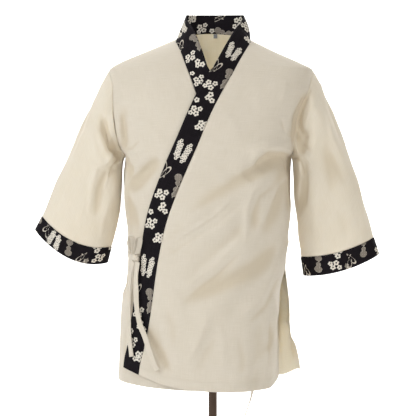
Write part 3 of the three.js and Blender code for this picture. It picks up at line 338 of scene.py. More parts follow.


# creases placed one by one: path of x and height, width, height, lean to one side
creases = {
    "leftFront": [
        ([(160, 834), (104, 822), (77, 794), (50, 768)], 13, 1.7, -0.2),
        ([(150, 806), (116, 800), (88, 779), (50, 757), (0, 723), (-50, 688)], 19, -2.6, 0),
        ([(128, 764), (85, 722), (26, 682), (-33, 648), (-80, 614)], 20, 1.9, 0),
        ([(148, 792), (136, 740), (122, 690), (104, 646)], 17, -2.4, 0),
        ([(128, 622), (85, 582), (26, 549), (-33, 524), (-76, 504)], 18, -2.2, 0),
        ([(120, 560), (60, 520), (0, 488), (-60, 462)], 20, 1.5, 0),
        ([(136, 480), (122, 430), (100, 386)], 13, -1.8, 0),
        ([(10, 440), (-20, 400), (-34, 366)], 14, -0.9, 0),
        ([(160, 808), (158, 770), (160, 730), (156, 690)], 9, -2.4, 0),
        ([(150, 804), (118, 800), (92, 786)], 8, -1.8, 0),
        ([(163, 807), (146, 811), (124, 805)], 3.8, -1.4, 0),
        ([(164, 816), (140, 825), (112, 829), (84, 819)], 4.2, 1.3, 0),
        ([(160, 846), (146, 856), (138, 880)], 5, -1.2, 0),
        ([(165, 812), (141, 819), (109, 821), (88, 807), (73, 781)], 6, 3.4, 0.25),
        ([(163, 800), (138, 806), (112, 808), (94, 796), (84, 774)], 5, -2.2, 0),
        ([(160, 826), (128, 836), (96, 833), (66, 812)], 9, 1.6, -0.2),
        ([(109, 753), (81, 737), (69, 703), (67, 640)], 8, 2.2, 0.3),
        ([(120, 742), (94, 722), (84, 690), (84, 655)], 8, -1.6, 0),
        ([(160, 770), (136, 748), (110, 700), (100, 668)], 9, 1.7, 0.2),
        ([(-92, 622), (-52, 650), (0, 682), (36, 716)], 7, 2.2, -0.3),
        ([(-88, 606), (-46, 634), (6, 664), (52, 704)], 7, -1.7, 0),
        ([(-52, 541), (0, 581), (54, 636)], 8, 2.0, -0.25),
        ([(-44, 524), (12, 566), (66, 620)], 8, -1.5, 0),
        ([(60, 486), (95, 510), (129, 582), (138, 640)], 8, 1.7, -0.2),
        ([(74, 470), (108, 500), (139, 560)], 7, -1.5, 0),
        ([(-133, 455), (-107, 409), (-92, 374)], 6, -2.4, 0),
        ([(-142, 442), (-122, 396), (-108, 362)], 6, 1.8, 0),
        ([(-46, 400), (-29, 434), (-12, 475)], 8, 1.6, 0.2),
        ([(40, 354), (80, 374), (121, 415)], 8, 1.5, 0.2),
        ([(128, 515), (131, 440), (127, 364)], 5, 2.0, 0),
        ([(117, 500), (119, 430), (112, 352)], 5.5, -1.7, 0),
        ([(138, 480), (136, 420), (137, 372)], 4, -1.2, 0),
        ([(195, 941), (169, 891), (165, 851), (165, 818)], 5.5, -2.4, 0),
        ([(179, 930), (155, 880), (149, 842)], 8, 1.5, 0.2),
        ([(149, 963), (147, 940), (141, 917)], 9, 1.0, 0),
        ([(95, 957), (92, 925), (96, 897)], 12, 0.8, 0),
        ([(20, 900), (45, 860), (60, 815)], 14, 0.9, 0.2),
        ([(-20, 800), (10, 770), (30, 740)], 12, 0.8, 0),
        ([(-100, 560), (-70, 520), (-52, 470)], 9, 0.9, 0.2),
        ([(-95, 500), (-80, 460), (-78, 420)], 8, -0.9, 0),
        ([(10, 470), (22, 430), (18, 380)], 9, 0.8, 0),
        ([(52, 440), (60, 400), (58, 350)], 8, -0.9, 0),
    ],
    "rightFront": [
        ([(-186, 800), (-168, 770), (-160, 738)], 12, -1.6, 0),
        ([(-180, 734), (-150, 765), (-108, 800)], 15, -1.7, 0),
        ([(-176, 724), (-152, 660), (-158, 622)], 12, -1.8, 0),
        ([(-186, 770), (-160, 800), (-130, 832)], 14, 1.5, 0),
        ([(-183, 812), (-170, 790), (-164, 768)], 9, -2.2, 0),
        ([(-180, 818), (-164, 822), (-146, 838)], 3.8, -1.5, 0),
        ([(-180, 811), (-160, 805), (-136, 812)], 4, 1.4, 0),
        ([(-167, 730), (-145, 760), (-120, 791)], 10, -1.3, 0),
        ([(-176, 748), (-154, 780), (-128, 812)], 7, 1.8, 0.25),
        ([(-187, 891), (-182, 855), (-179, 823)], 6, -2.4, 0),
        ([(-196, 900), (-194, 862), (-188, 828)], 5, 1.6, 0),
        ([(-172, 905), (-164, 868), (-160, 836)], 9, 1.1, 0.2),
        ([(-177, 742), (-172, 690), (-168, 640)], 7, -1.2, 0),
        ([(-130, 700), (-150, 655), (-158, 622)], 9, 1.2, 0.2),
        ([(-150, 592), (-165, 560), (-178, 520)], 7, 1.6, 0),
        ([(-158, 590), (-178, 548), (-189, 500)], 6, -1.4, 0),
        ([(-128, 560), (-140, 500), (-150, 440)], 8, 1.0, 0.2),
        ([(-160, 470), (-164, 420), (-160, 350)], 9, 1.2, 0),
        ([(-178, 460), (-182, 410), (-180, 348)], 7, -1.2, 0),
        ([(-150, 960), (-130, 930), (-120, 900)], 12, 0.8, 0),
        ([(-90, 900), (-110, 860), (-118, 820)], 13, 0.9, 0),
        ([(-60, 1010), (-95, 985), (-130, 962)], 12, 0.6, 0),
    ],
    "back": [
        ([(-175, 822), (-135, 790), (-92, 742), (-70, 700)], 8, 2.4, 0.2),
        ([(150, 548), (158, 500), (160, 430), (166, 352)], 5.5, 1.9, 0),
        ([(142, 530), (148, 470), (149, 400), (153, 346)], 5, -1.8, 0),
        ([(162, 470), (170, 410), (176, 360)], 5, -1.5, 0),
        ([(-170, 806), (-130, 770), (-90, 722)], 7, -2.0, 0),
        ([(160, 820), (122, 790), (84, 742), (60, 690)], 8, 2.2, -0.2),
        ([(158, 804), (118, 768), (82, 716)], 7, -1.9, 0),
        ([(-120, 660), (-60, 640), (0, 652), (60, 636)], 11, 1.6, 0.2),
        ([(-100, 628), (-40, 612), (30, 622), (110, 604)], 10, -1.4, 0),
        ([(-110, 580), (-40, 566), (20, 574)], 11, 1.1, 0),
        ([(80, 600), (112, 560), (130, 500)], 9, 1.3, 0.2),
        ([(140, 556), (146, 541), (150, 522)], 6, 1.4, 0),
        ([(-140, 560), (-150, 480), (-148, 400)], 9, 1.4, 0.1),
        ([(-90, 520), (-96, 440), (-88, 350)], 10, 1.2, 0),
        ([(-20, 500), (-14, 430), (-24, 346)], 11, 1.2, 0.2),
        ([(50, 500), (62, 420), (66, 344)], 10, 1.2, 0),
        ([(120, 470), (134, 410), (138, 350)], 8, 1.2, 0),
        ([(-150, 900), (-120, 880), (-90, 876)], 12, 1.0, 0),
        ([(160, 905), (124, 884), (90, 880)], 12, 1.0, 0),
        ([(-60, 960), (-20, 940), (40, 946)], 16, 0.8, 0),
    ],
    "rightSleeveFront": [
        ([(-230, 900), (-222, 857), (-205, 823), (-188, 804)], 11, -2.8, 0),
        ([(-206, 900), (-205, 860), (-196, 826)], 9, 1.7, 0),
        ([(-250, 880), (-244, 830), (-228, 792)], 13, 1.7, 0),
        ([(-200, 768), (-210, 720), (-216, 670)], 11, 1.4, 0),
        ([(-186, 806), (-204, 792), (-216, 760)], 3.8, -1.6, 0),
        ([(-188, 799), (-214, 775), (-224, 740)], 4.2, 1.4, 0),
        ([(-190, 826), (-208, 812), (-222, 786)], 4.2, 1.3, 0),
        ([(-231, 883), (-207, 823), (-185, 797)], 7, -2.2, 0.2),
        ([(-242, 872), (-220, 816), (-198, 780)], 7, 1.7, 0),
        ([(-193, 790), (-221, 768), (-234, 742), (-243, 682)], 11, -1.9, 0),
        ([(-204, 800), (-238, 784), (-247, 752), (-256, 690)], 7, 1.6, 0.2),
        ([(-197, 863), (-198, 840), (-196, 816)], 5, 1.5, 0),
        ([(-212, 940), (-222, 900), (-236, 860)], 10, 1.0, 0.2),
        ([(-262, 900), (-280, 850), (-300, 800)], 9, -0.9, 0),
        ([(-290, 780), (-310, 730), (-322, 700)], 9, 1.0, 0),
        ([(-214, 720), (-226, 680), (-232, 640)], 7, 1.3, 0),
        ([(-262, 720), (-274, 690), (-280, 664)], 8, 0.9, 0),
    ],
    "leftSleeveFront": [
        ([(180, 912), (178, 874), (190, 848), (182, 816), (170, 800)], 11, -2.8, 0),
        ([(206, 906), (206, 868), (212, 836), (200, 800)], 12, 1.8, 0),
        ([(176, 790), (184, 740), (182, 680)], 10, -2.0, 0),
        ([(206, 778), (212, 730), (214, 680)], 14, 1.3, 0),
        ([(226, 850), (240, 790), (244, 730)], 17, -1.1, 0),
        ([(170, 806), (182, 795), (188, 768)], 3.8, -1.5, 0),
        ([(170, 812), (188, 807), (205, 787)], 4.2, 1.3, 0),
        ([(171, 826), (186, 830), (204, 816)], 4.2, -1.2, 0),
        ([(206, 950), (182, 900), (174, 862), (172, 830)], 6, -2.0, 0),
        ([(214, 930), (194, 884), (186, 850)], 7, 1.4, 0.2),
        ([(179, 797), (180, 760), (178, 716)], 6, 1.8, 0),
        ([(192, 800), (194, 752), (192, 700)], 7, -1.6, 0),
        ([(176, 866), (184, 852), (196, 846)], 6, -1.4, 0),
        ([(241, 817), (258, 780), (276, 742)], 15, -0.8, 0),
        ([(256, 838), (276, 792), (294, 748)], 15, 0.8, 0),
        ([(236, 900), (250, 860), (262, 820)], 11, 0.9, 0),
        ([(210, 700), (222, 660), (228, 620)], 13, 0.8, 0),
        ([(258, 700), (272, 664), (280, 634)], 14, -0.6, 0),
        ([(298, 740), (308, 700), (318, 660)], 8, 0.9, 0),
    ],
    # over a sleeve's outer fold: mm forward of the fold, mm down from the seam
    "sleeveOuter": [
        ([(-24, 50), (2, 104), (10, 176)], 10, 1.5, 0.2),
        ([(-6, 40), (18, 96), (26, 160)], 9, -1.3, 0),
        ([(38, 60), (52, 120), (44, 190)], 9, 1.3, 0),
        ([(-48, 120), (-34, 190), (-44, 270)], 10, 1.5, 0.2),
        ([(-66, 60), (-58, 130), (-66, 200)], 9, -1.2, 0),
        ([(12, 190), (-4, 250), (2, 318)], 9, -1.3, 0),
        ([(30, 210), (22, 262), (30, 320)], 8, 1.1, 0),
        ([(-70, 30), (-30, 40), (14, 34)], 8, 1.0, 0.2),
        ([(-20, 226), (-26, 270), (-20, 310)], 7, 0.9, 0),
    ],
    # down a side of the body: mm behind the front, height
    "bodySide": [
        ([(-78, 800), (-46, 764), (-20, 716), (-12, 660)], 9, 1.8, 0.2),
        ([(-60, 812), (-30, 780), (-8, 740)], 7, -1.5, 0),
        ([(74, 800), (46, 760), (24, 708), (20, 650)], 9, 1.8, -0.2),
        ([(56, 806), (34, 776), (14, 730)], 7, -1.4, 0),
        ([(-70, 640), (-30, 622), (20, 632), (66, 616)], 9, 1.5, 0.2),
        ([(-60, 606), (-16, 592), (40, 600)], 8, -1.2, 0),
        ([(-62, 540), (-54, 470), (-66, 390)], 9, 1.4, 0),
        ([(-30, 520), (-24, 440), (-32, 352)], 8, -1.1, 0),
        ([(34, 536), (42, 460), (34, 380)], 9, 1.4, 0),
        ([(68, 520), (62, 440), (70, 350)], 9, -1.2, 0),
    ],
    "sleeveBack": [
        ([(-225, 880), (-212, 830), (-196, 790)], 8, 1.8, 0),
        ([(-240, 860), (-232, 790), (-238, 720)], 9, -1.5, 0),
        ([(-280, 800), (-296, 750), (-310, 706)], 10, 1.2, 0),
        ([(-222, 740), (-236, 690), (-244, 650)], 8, 1.3, 0),
        ([(212, 880), (200, 830), (188, 790)], 8, 1.8, 0),
        ([(228, 850), (230, 790), (244, 720)], 9, -1.5, 0),
        ([(270, 800), (288, 740), (302, 690)], 10, 1.2, 0),
        ([(206, 730), (220, 680), (230, 630)], 8, 1.3, 0),
    ],
}
# wavelength, direction in degrees, height, phase, bend
bodyWaves = [(118, 24, 0.55, 0.4, 0.8), (83, 112, 0.4, 1.9, 1.1), (57, 63, 0.26, 3.3, 0.9),
             (39, 148, 0.16, 5.2, 1.3), (27, 35, 0.09, 0.9, 1.2), (19, 97, 0.05, 2.6, 1.4)]


# meshes from grids
def gridNormals(points, wrap=False):
    if wrap:
        across = np.roll(points, -1, axis=1) - np.roll(points, 1, axis=1)
    else:
        across = np.gradient(points, axis=1)
    n = unit(np.cross(across, np.gradient(points, axis=0)))
    if wrap:
        outward = points - points.mean(axis=1, keepdims=True)
    else:
        outward = points - np.array([centreX, sideY, 0.0])
        outward[..., 2] = 0
    return n if (n * outward).sum() > 0 else -n


def arcLengths(points, axis):
    steps = np.linalg.norm(np.diff(points, axis=axis), axis=-1)
    zero = np.zeros_like(np.take(steps, [0], axis=axis))
    return np.concatenate([zero, np.cumsum(steps, axis=axis)], axis=axis)


def link(made):
    bpy.context.scene.collection.objects.link(made)
    return made


def shadeSmooth(mesh):
    mesh.polygons.foreach_set("use_smooth", np.ones(len(mesh.polygons), bool))


def meshPiece(name, points, quads, uv, values=None, material=None):
    a, b, c, d = (points[quads[:, i]] for i in range(4))
    if (a * (np.cross(b, c) + np.cross(c, d))).sum() < 0:
        quads = quads[:, ::-1]
    corners = np.ascontiguousarray(quads).ravel()
    mesh = bpy.data.meshes.new(name)
    mesh.vertices.add(len(points))
    mesh.vertices.foreach_set("co", (points * 0.001).astype(np.float32).ravel())
    mesh.loops.add(corners.size)
    mesh.loops.foreach_set("vertex_index", corners.astype(np.int32))
    mesh.polygons.add(len(quads))
    mesh.polygons.foreach_set("loop_start", np.arange(0, corners.size, 4, dtype=np.int32))
    mesh.update(calc_edges=True)
    layer = mesh.uv_layers.new(name="clothUV")
    layer.data.foreach_set("uv", (uv[corners] * 0.001).astype(np.float32).ravel())
    for key, value in (values or {}).items():
        attribute = mesh.attributes.new(key, "FLOAT", "POINT")
        attribute.data.foreach_set("value", value.astype(np.float32).ravel())
    shadeSmooth(mesh)
    mesh.validate()
    mesh.materials.append(material)
    return link(bpy.data.objects.new(name, mesh))


def wallPiece(name, outer, inner, uv, wrap=False, values=None, material=None):
    # a closed wall between two grids of points
    rows, columns = outer.shape[:2]
    index = np.arange(rows * columns).reshape(rows, columns)
    if wrap:
        index = np.concatenate([index, index[:, :1]], axis=1)
    back = index + rows * columns

    def quadsOf(a, b, c, d):
        return np.stack([a.ravel(), b.ravel(), c.ravel(), d.ravel()], axis=1)

    parts = [quadsOf(index[:-1, :-1], index[:-1, 1:], index[1:, 1:], index[1:, :-1]),
             quadsOf(back[:-1, :-1], back[1:, :-1], back[1:, 1:], back[:-1, 1:]),
             quadsOf(index[0, :-1], back[0, :-1], back[0, 1:], index[0, 1:]),
             quadsOf(index[-1, :-1], index[-1, 1:], back[-1, 1:], back[-1, :-1])]
    if not wrap:
        parts.append(quadsOf(index[:-1, 0], index[1:, 0], back[1:, 0], back[:-1, 0]))
        parts.append(quadsOf(index[:-1, -1], back[:-1, -1], back[1:, -1], index[1:, -1]))
    points = np.concatenate([outer.reshape(-1, 3), inner.reshape(-1, 3)])
    both = {key: np.concatenate([value.ravel(), value.ravel()]) for key, value in (values or {}).items()}
    return meshPiece(name, points, np.concatenate(parts), np.concatenate([uv.reshape(-1, 2)] * 2), both, material)


def gridArea(points, wrap=False):
    if wrap:
        points = np.concatenate([points, points[:, :1]], axis=1)
    a = points[1:, 1:] - points[:-1, :-1]
    b = points[1:, :-1] - points[:-1, 1:]
    return 0.5 * np.linalg.norm(np.cross(a, b), axis=-1).sum() / 1e6


# materials
cottonLook = {
    # fold is a painted shade colour, mixed into the cloth where creases run deep, with the strength given next to
    # it
    "light": (224, 215, 200), "dark": (212, 202, 184), "fold": (196, 178, 146), "foldShadeStrength": 0.42,
    # the sleeve tones are painted lighter than the body's: a painted glow for light passing through the single
    # layer of the sleeves and the back
    "throughLitLight": (235, 225, 208), "throughLitDark": (225, 213, 192), "yarns": 1150.0, "patchScale": 14.0,
}
printLook = {
    "ink": (12, 8, 12), "inkLight": (24, 18, 24), "motifWhite": (228, 221, 208),
    "gourdGrey": (134, 126, 116), "line": (205, 196, 182), "yarns": 1400.0, "fray": 0.5,
}
hardLook = {
    "shellDark": (205, 199, 190), "shellLight": (216, 211, 203),
    # the pole's dark brown is a painted reflection of dark surroundings in its chrome
    "poleReflectionLight": (98, 82, 72), "poleReflectionDark": (80, 66, 57),
    "steelLight": (176, 174, 171), "steelDark": (164, 162, 159),
    "tapeDark": (132, 132, 134), "tapeLight": (166, 166, 168),
    "creamThread": (232, 222, 204), "blackThread": (34, 30, 35),
}


def linear(colour):
    shares = [c / 255 for c in colour]
    return tuple(c / 12.92 if c <= 0.0404 else ((c + 0.055) / 1.055) ** 2.4 for c in shares) + (1.0,)


def feed(tree, value, socket):
    # a socket gets a value, or the output that leads to it
    if isinstance(value, bpy.types.NodeSocket):
        tree.links.new(value, socket)
    else:
        socket.default_value = value


def newMaterial(name, values):
    material = bpy.data.materials.new(name)
    material.use_nodes = True
    shader = material.node_tree.nodes["Principled BSDF"]
    for socket, value in values.items():
        shader.inputs[socket].default_value = value
    return material, material.node_tree, shader


def addNode(tree, kind, inputs=None, **settings):
    node = tree.nodes.new(kind)
    for key, value in settings.items():
        setattr(node, key, value)
    for socket, value in (inputs or {}).items():
        feed(tree, value, node.inputs[socket])
    return node


def mathNode(tree, operation, a, b=None):
    inputs = {0: a} if b is None else {0: a, 1: b}
    return addNode(tree, "ShaderNodeMath", inputs, operation=operation).outputs[0]


def mixColour(tree, factor, a, b):
    return addNode(tree, "ShaderNodeMix", {0: factor, 6: a, 7: b}, data_type="RGBA").outputs[2]


def mapRange(tree, value, low, high, toLow=0.0, toHigh=1.0):
    inputs = {0: value, 1: low, 2: high, 3: toLow, 4: toHigh}
    return addNode(tree, "ShaderNodeMapRange", inputs, clamp=True).outputs[0]


def bumpFrom(tree, height, strength, distance, shader):
    bump = addNode(tree, "ShaderNodeBump", {"Strength": strength, "Distance": distance, "Height": height})
    feed(tree, bump.outputs[0], shader.inputs["Normal"])


def stretchedNoise(tree, coordinates, stretch, scale, detail, **settings):
    mapping = addNode(tree, "ShaderNodeMapping", {"Vector": coordinates, "Scale": stretch})
    inputs = {"Vector": mapping.outputs[0], "Scale": scale, "Detail": detail}
    return addNode(tree, "ShaderNodeTexNoise", inputs, **settings).outputs["Fac"]


def objectNoise(tree, scale, stretch=(1.0, 1.0, 1.0), detail=3.0):
    place = addNode(tree, "ShaderNodeTexCoord")
    return stretchedNoise(tree, place.outputs["Object"], stretch, scale, detail)


def makeWeaveGroup():
    # plain weave from the cloth's own UV, with thick and thin yarns
    group = bpy.data.node_groups.new("plainWeave", "ShaderNodeTree")
    group.interface.new_socket(name="Coordinates", in_out="INPUT", socket_type="NodeSocketVector")
    group.interface.new_socket(name="Yarns per metre", in_out="INPUT", socket_type="NodeSocketFloat")
    for name in ("Height", "Tone"):
        group.interface.new_socket(name=name, in_out="OUTPUT", socket_type="NodeSocketFloat")
    inside = group.nodes.new("NodeGroupInput")
    outside = group.nodes.new("NodeGroupOutput")
    coordinates = inside.outputs["Coordinates"]
    split = addNode(group, "ShaderNodeSeparateXYZ", {0: coordinates})
    turns = mathNode(group, "MULTIPLY", inside.outputs["Yarns per metre"], math.pi)
    warp, weft = (mathNode(group, "SINE", mathNode(group, "MULTIPLY", split.outputs[axis], turns))
                  for axis in ("X", "Y"))
    check = mathNode(group, "MULTIPLY", warp, weft)
    slubs = [stretchedNoise(group, coordinates, stretch, 1.0, 2.0, noise_dimensions="2D")
             for stretch in ((950.0, 34.0, 1.0), (34.0, 950.0, 1.0))]
    slub = mathNode(group, "MULTIPLY", mathNode(group, "ADD", *slubs), 0.5)
    height = mathNode(group, "ADD", mathNode(group, "MULTIPLY", check, 0.35), slub)
    feed(group, height, outside.inputs["Height"])
    feed(group, slub, outside.inputs["Tone"])
    return group


weaveGroup = makeWeaveGroup()


def weaveNodes(tree, yarns):
    uvNode = addNode(tree, "ShaderNodeUVMap", uv_map="clothUV")
    weave = addNode(tree, "ShaderNodeGroup", node_tree=weaveGroup)
    feed(tree, yarns, weave.inputs["Yarns per metre"])
    feed(tree, uvNode.outputs[0], weave.inputs["Coordinates"])
    return uvNode.outputs[0], weave.outputs["Tone"], weave.outputs["Height"]


def makeCreamCotton(name, light, dark, through, depth):
    # through and depth set how much light passes the cloth where one layer hangs free
    material, tree, shader = newMaterial(name, {
        "Subsurface Weight": through, "Subsurface Radius": (1.0, 0.9, 0.75), "Subsurface Scale": depth,
        "Sheen Weight": 0.12, "Sheen Roughness": 0.5, "Specular IOR Level": 0.25})
    coordinates, slub, height = weaveNodes(tree, cottonLook["yarns"])
    patches = addNode(tree, "ShaderNodeTexNoise", {
        "Vector": coordinates, "Scale": cottonLook["patchScale"], "Detail": 3.0}, noise_dimensions="2D")
    tone = mathNode(tree, "ADD", mathNode(tree, "MULTIPLY", slub, 0.75),
                    mathNode(tree, "MULTIPLY", patches.outputs["Fac"], 0.25))
    cloth = mixColour(tree, mapRange(tree, tone, 0.22, 0.7), linear(cottonLook[dark]), linear(cottonLook[light]))
    # painted shade: where the creases run deep, the cloth colour is mixed towards the darker, warmer fold colour
    paintedFoldShade = addNode(tree, "ShaderNodeAttribute", attribute_name="foldShadeMask").outputs["Fac"]
    tint = mapRange(tree, paintedFoldShade, 0.0, 1.0, 0.0, cottonLook["foldShadeStrength"])
    feed(tree, mixColour(tree, tint, cloth, linear(cottonLook["fold"])), shader.inputs["Base Color"])
    feed(tree, mapRange(tree, slub, 0.3, 0.7, 0.93, 0.8), shader.inputs["Roughness"])
    bumpFrom(tree, height, 0.35, 0.0003, shader)
    return material


def makePrintedCotton():
    material, tree, shader = newMaterial("printedCotton", {"Specular IOR Level": 0.16})
    coordinates, slub, height = weaveNodes(tree, printLook["yarns"])
    dark, light = linear(printLook["ink"]), linear(printLook["inkLight"])
    colour = mixColour(tree, mapRange(tree, slub, 0.35, 0.65), dark, light)
    for name, ink, edge in (("gourdInk", "gourdGrey", 0.22), ("lineInk", "line", 0.2),
                            ("flowerInk", "motifWhite", 0.22)):
        inkDepth = addNode(tree, "ShaderNodeAttribute", attribute_name=name).outputs["Fac"]
        fray = mathNode(tree, "MULTIPLY", mathNode(tree, "SUBTRACT", slub, 0.5), printLook["fray"])
        frayed = mathNode(tree, "ADD", inkDepth, fray)
        colour = mixColour(tree, mapRange(tree, frayed, -edge, edge), colour, linear(printLook[ink]))
    feed(tree, colour, shader.inputs["Base Color"])
    feed(tree, mapRange(tree, slub, 0.3, 0.7, 0.88, 0.74), shader.inputs["Roughness"])
    bumpFrom(tree, height, 0.3, 0.00025, shader)
    return material


def makeThread(name):
    colour = linear(hardLook[name])
    material, tree, shader = newMaterial(name, {"Roughness": 0.7})
    noise = objectNoise(tree, 2600.0)
    darker = tuple(c * 0.72 for c in colour[:3]) + (1.0,)
    feed(tree, mixColour(tree, noise, darker, colour), shader.inputs["Base Color"])
    bumpFrom(tree, noise, 0.3, 0.0001, shader)
    return material


def makeHard(name, dull, bright, low, high, scale, stretch=(1.0, 1.0, 1.0), detail=3.0, metallic=1.0,
             relief=0.05, depth=0.0001, grainScale=None):
    # roughness runs from low to high; the relief follows the streaks, or a grain of its own
    material, tree, shader = newMaterial(name, {"Metallic": metallic})
    streaks = objectNoise(tree, scale, stretch, detail)
    grain = objectNoise(tree, grainScale, detail=2.0) if grainScale else streaks
    colour = mixColour(tree, mapRange(tree, streaks, 0.35, 0.65), linear(hardLook[dull]), linear(hardLook[bright]))
    feed(tree, colour, shader.inputs["Base Color"])
    feed(tree, mapRange(tree, streaks, 0.3, 0.7, low, high), shader.inputs["Roughness"])
    bumpFrom(tree, grain, relief, depth, shader)
    return material


def makeLabelTape():
    material, tree, shader = newMaterial("labelTape", {"Roughness": 0.6})
    coordinates, slub, height = weaveNodes(tree, 2600.0)
    colour = mixColour(tree, slub, linear(hardLook["tapeDark"]), linear(hardLook["tapeLight"]))
    feed(tree, colour, shader.inputs["Base Color"])
    bumpFrom(tree, height, 0.3, 0.0002, shader)
    return material


creamCotton = makeCreamCotton("creamCotton", "light", "dark", 0.12, 0.001)
# sleeves and back take the lighter tones, a painted glow on top of the light that really passes through them
creamCottonSingle = makeCreamCotton("creamCottonSingle", "throughLitLight", "throughLitDark", 0.28, 0.0028)
creamCottonBack = makeCreamCotton("creamCottonBack", "throughLitLight", "throughLitDark", 0.64, 0.005)
printedCotton = makePrintedCotton()
creamThread, blackThread = makeThread("creamThread"), makeThread("blackThread")
torsoShell = makeHard("torsoShell", "shellDark", "shellLight", 0.5, 0.66, 9.0, detail=4.0, metallic=0.0,
                      relief=0.12, depth=0.0002, grainScale=900.0)
# poleChrome, on the pole and the flange, carries the painted dark reflection as its colour
poleChrome = makeHard("poleChrome", "poleReflectionDark", "poleReflectionLight", 0.1, 0.22, 60.0, (1, 1, 0.05))
baseSteel = makeHard("baseSteel", "steelDark", "steelLight", 0.3, 0.38, 14.0, relief=0.02)
labelTape = makeLabelTape()
print("materials made")


# stitches: millimetres from one to the next, of one stitch, of its radius, and above the cloth
threads = {
    "hem": {"pitch": 3.3, "length": 2.5, "radius": 0.24, "lift": 0.12},
    "band": {"pitch": 3.4, "length": 2.6, "radius": 0.2, "lift": 0.05},
    "tie": {"pitch": 2.8, "length": 2.0, "radius": 0.16, "lift": 0.02},
    # along one stitch: share of its length, thickness, height
    "shape": ((0.0, 0.35, -0.35), (0.22, 1.0, 0.6), (0.78, 1.0, 0.6), (1.0, 0.35, -0.35)), "sides": 5,
}


def startStitches():
    # collects small thread lengths, which become one mesh
    return {"points": [], "faces": []}


def sewLine(sewn, path, normals, thread):
    # evenly spaced stitches along a path of points, each sunk a little at its ends
    along = np.concatenate([[0], np.cumsum(np.linalg.norm(np.diff(path, axis=0), axis=-1))])
    pitch, length, radius = thread["pitch"], thread["length"], thread["radius"]
    if along[-1] < pitch:
        return
    shape, sides = threads["shape"], threads["sides"]

    def sample(values, at):
        return np.stack([np.interp(at, along, values[:, i]) for i in range(3)], axis=-1)

    for start in np.arange(pitch * 0.3, along[-1] - length, pitch):
        base = len(sewn["points"])
        at = np.array([start + share * length for share, thick, up in shape])
        p, n = sample(path, at), unit(sample(normals, at))
        t = unit((p[-1] - p[0])[None])[0]
        for k, (share, thick, up) in enumerate(shape):
            side = np.cross(t, n[k])
            centre = p[k] + n[k] * (thread["lift"] + up * radius)
            for a in np.arange(sides) * 2 * math.pi / sides:
                sewn["points"].append(centre + radius * thick * (math.cos(a) * side + math.sin(a) * n[k]))
        for k in range(len(shape) - 1):
            low = base + sides * k
            for a in range(sides):
                b = (a + 1) % sides
                sewn["faces"].append((low + a, low + b, low + sides + b, low + sides + a))
        sewn["faces"].append(tuple(base + a for a in reversed(range(sides))))
        sewn["faces"].append(tuple(base + sides * (len(shape) - 1) + a for a in range(sides)))


def stitchPiece(sewn, name, material):
    mesh = bpy.data.meshes.new(name)
    mesh.from_pydata([tuple(p * 0.001) for p in sewn["points"]], [], sewn["faces"])
    mesh.update()
    made = bmesh.new()
    made.from_mesh(mesh)
    bmesh.ops.recalc_face_normals(made, faces=made.faces)
    made.to_mesh(mesh)
    made.free()
    shadeSmooth(mesh)
    mesh.materials.append(material)
    piece = link(bpy.data.objects.new(name, mesh))
    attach(piece, "root")
    print(name, len(mesh.polygons), "faces")


creamStitches, blackStitches = startStitches(), startStitches()


def pathAcross(points, values, target):
    # in each column, the point where a value that grows down the rows reaches the target
    return np.array([[np.interp(target, values[:, c], points[:, c, i]) for i in range(3)]
                     for c in range(points.shape[1])])


def pathDown(points, values, target):
    # in each row, the point where a value that grows along it reaches the target
    return np.array([[np.interp(target, values[r], points[r, :, i]) for i in range(3)]
                     for r in range(points.shape[0])])


# fronts and back
panels = {
    "rowStep": 3.4, "rowGap": 1.1, "rowTop": 1046, "fineEdge": (0.0, 0.0022, 0.0052, 0.0095),
    # rows that hold the hem's fold and stitches, the armpit, the shoulder tip and the neck
    "fixedRows": [335, 335.6, 336.6, 338, 348, 350, 351.5, 352.6, 353.4, 354, 354.6, 355.6, 357,
                  811, 988, 1041, 1044, 1047],
    # how far from an edge the small waves fade out
    "calmWidth": 26.0, "calmFront": 40.0,
    "left_front": {"columns": 92, "flat": (0.375, 0.838), "area": 0.208},
    "right_front": {"columns": 74, "flat": (0.287, 0.855), "area": 0.182},
    "back": {"columns": 130, "flat": (0.502, 0.859), "area": 0.3325},
}
fixedRows = panels["fixedRows"]
bodyRows = np.array(sorted(fixedRows + [
    z for z in np.arange(341, panels["rowTop"], panels["rowStep"])
    if min(abs(z - fixed) for fixed in fixedRows) > panels["rowGap"]]))


def edgeShares(name):
    fine = np.array(panels["fineEdge"])
    return np.concatenate([fine, np.linspace(0.016, 0.984, panels[name]["columns"]), 1 - fine[::-1]])


def ridge(distance, width):
    return np.exp(-((distance / width) ** 2))


def seamPuff(distance):
    # cloth rises beside a sewn edge, which itself stays where its neighbour meets it
    return 0.95 * (1 - ridge(distance, 1.7)) * ridge(distance, 16)


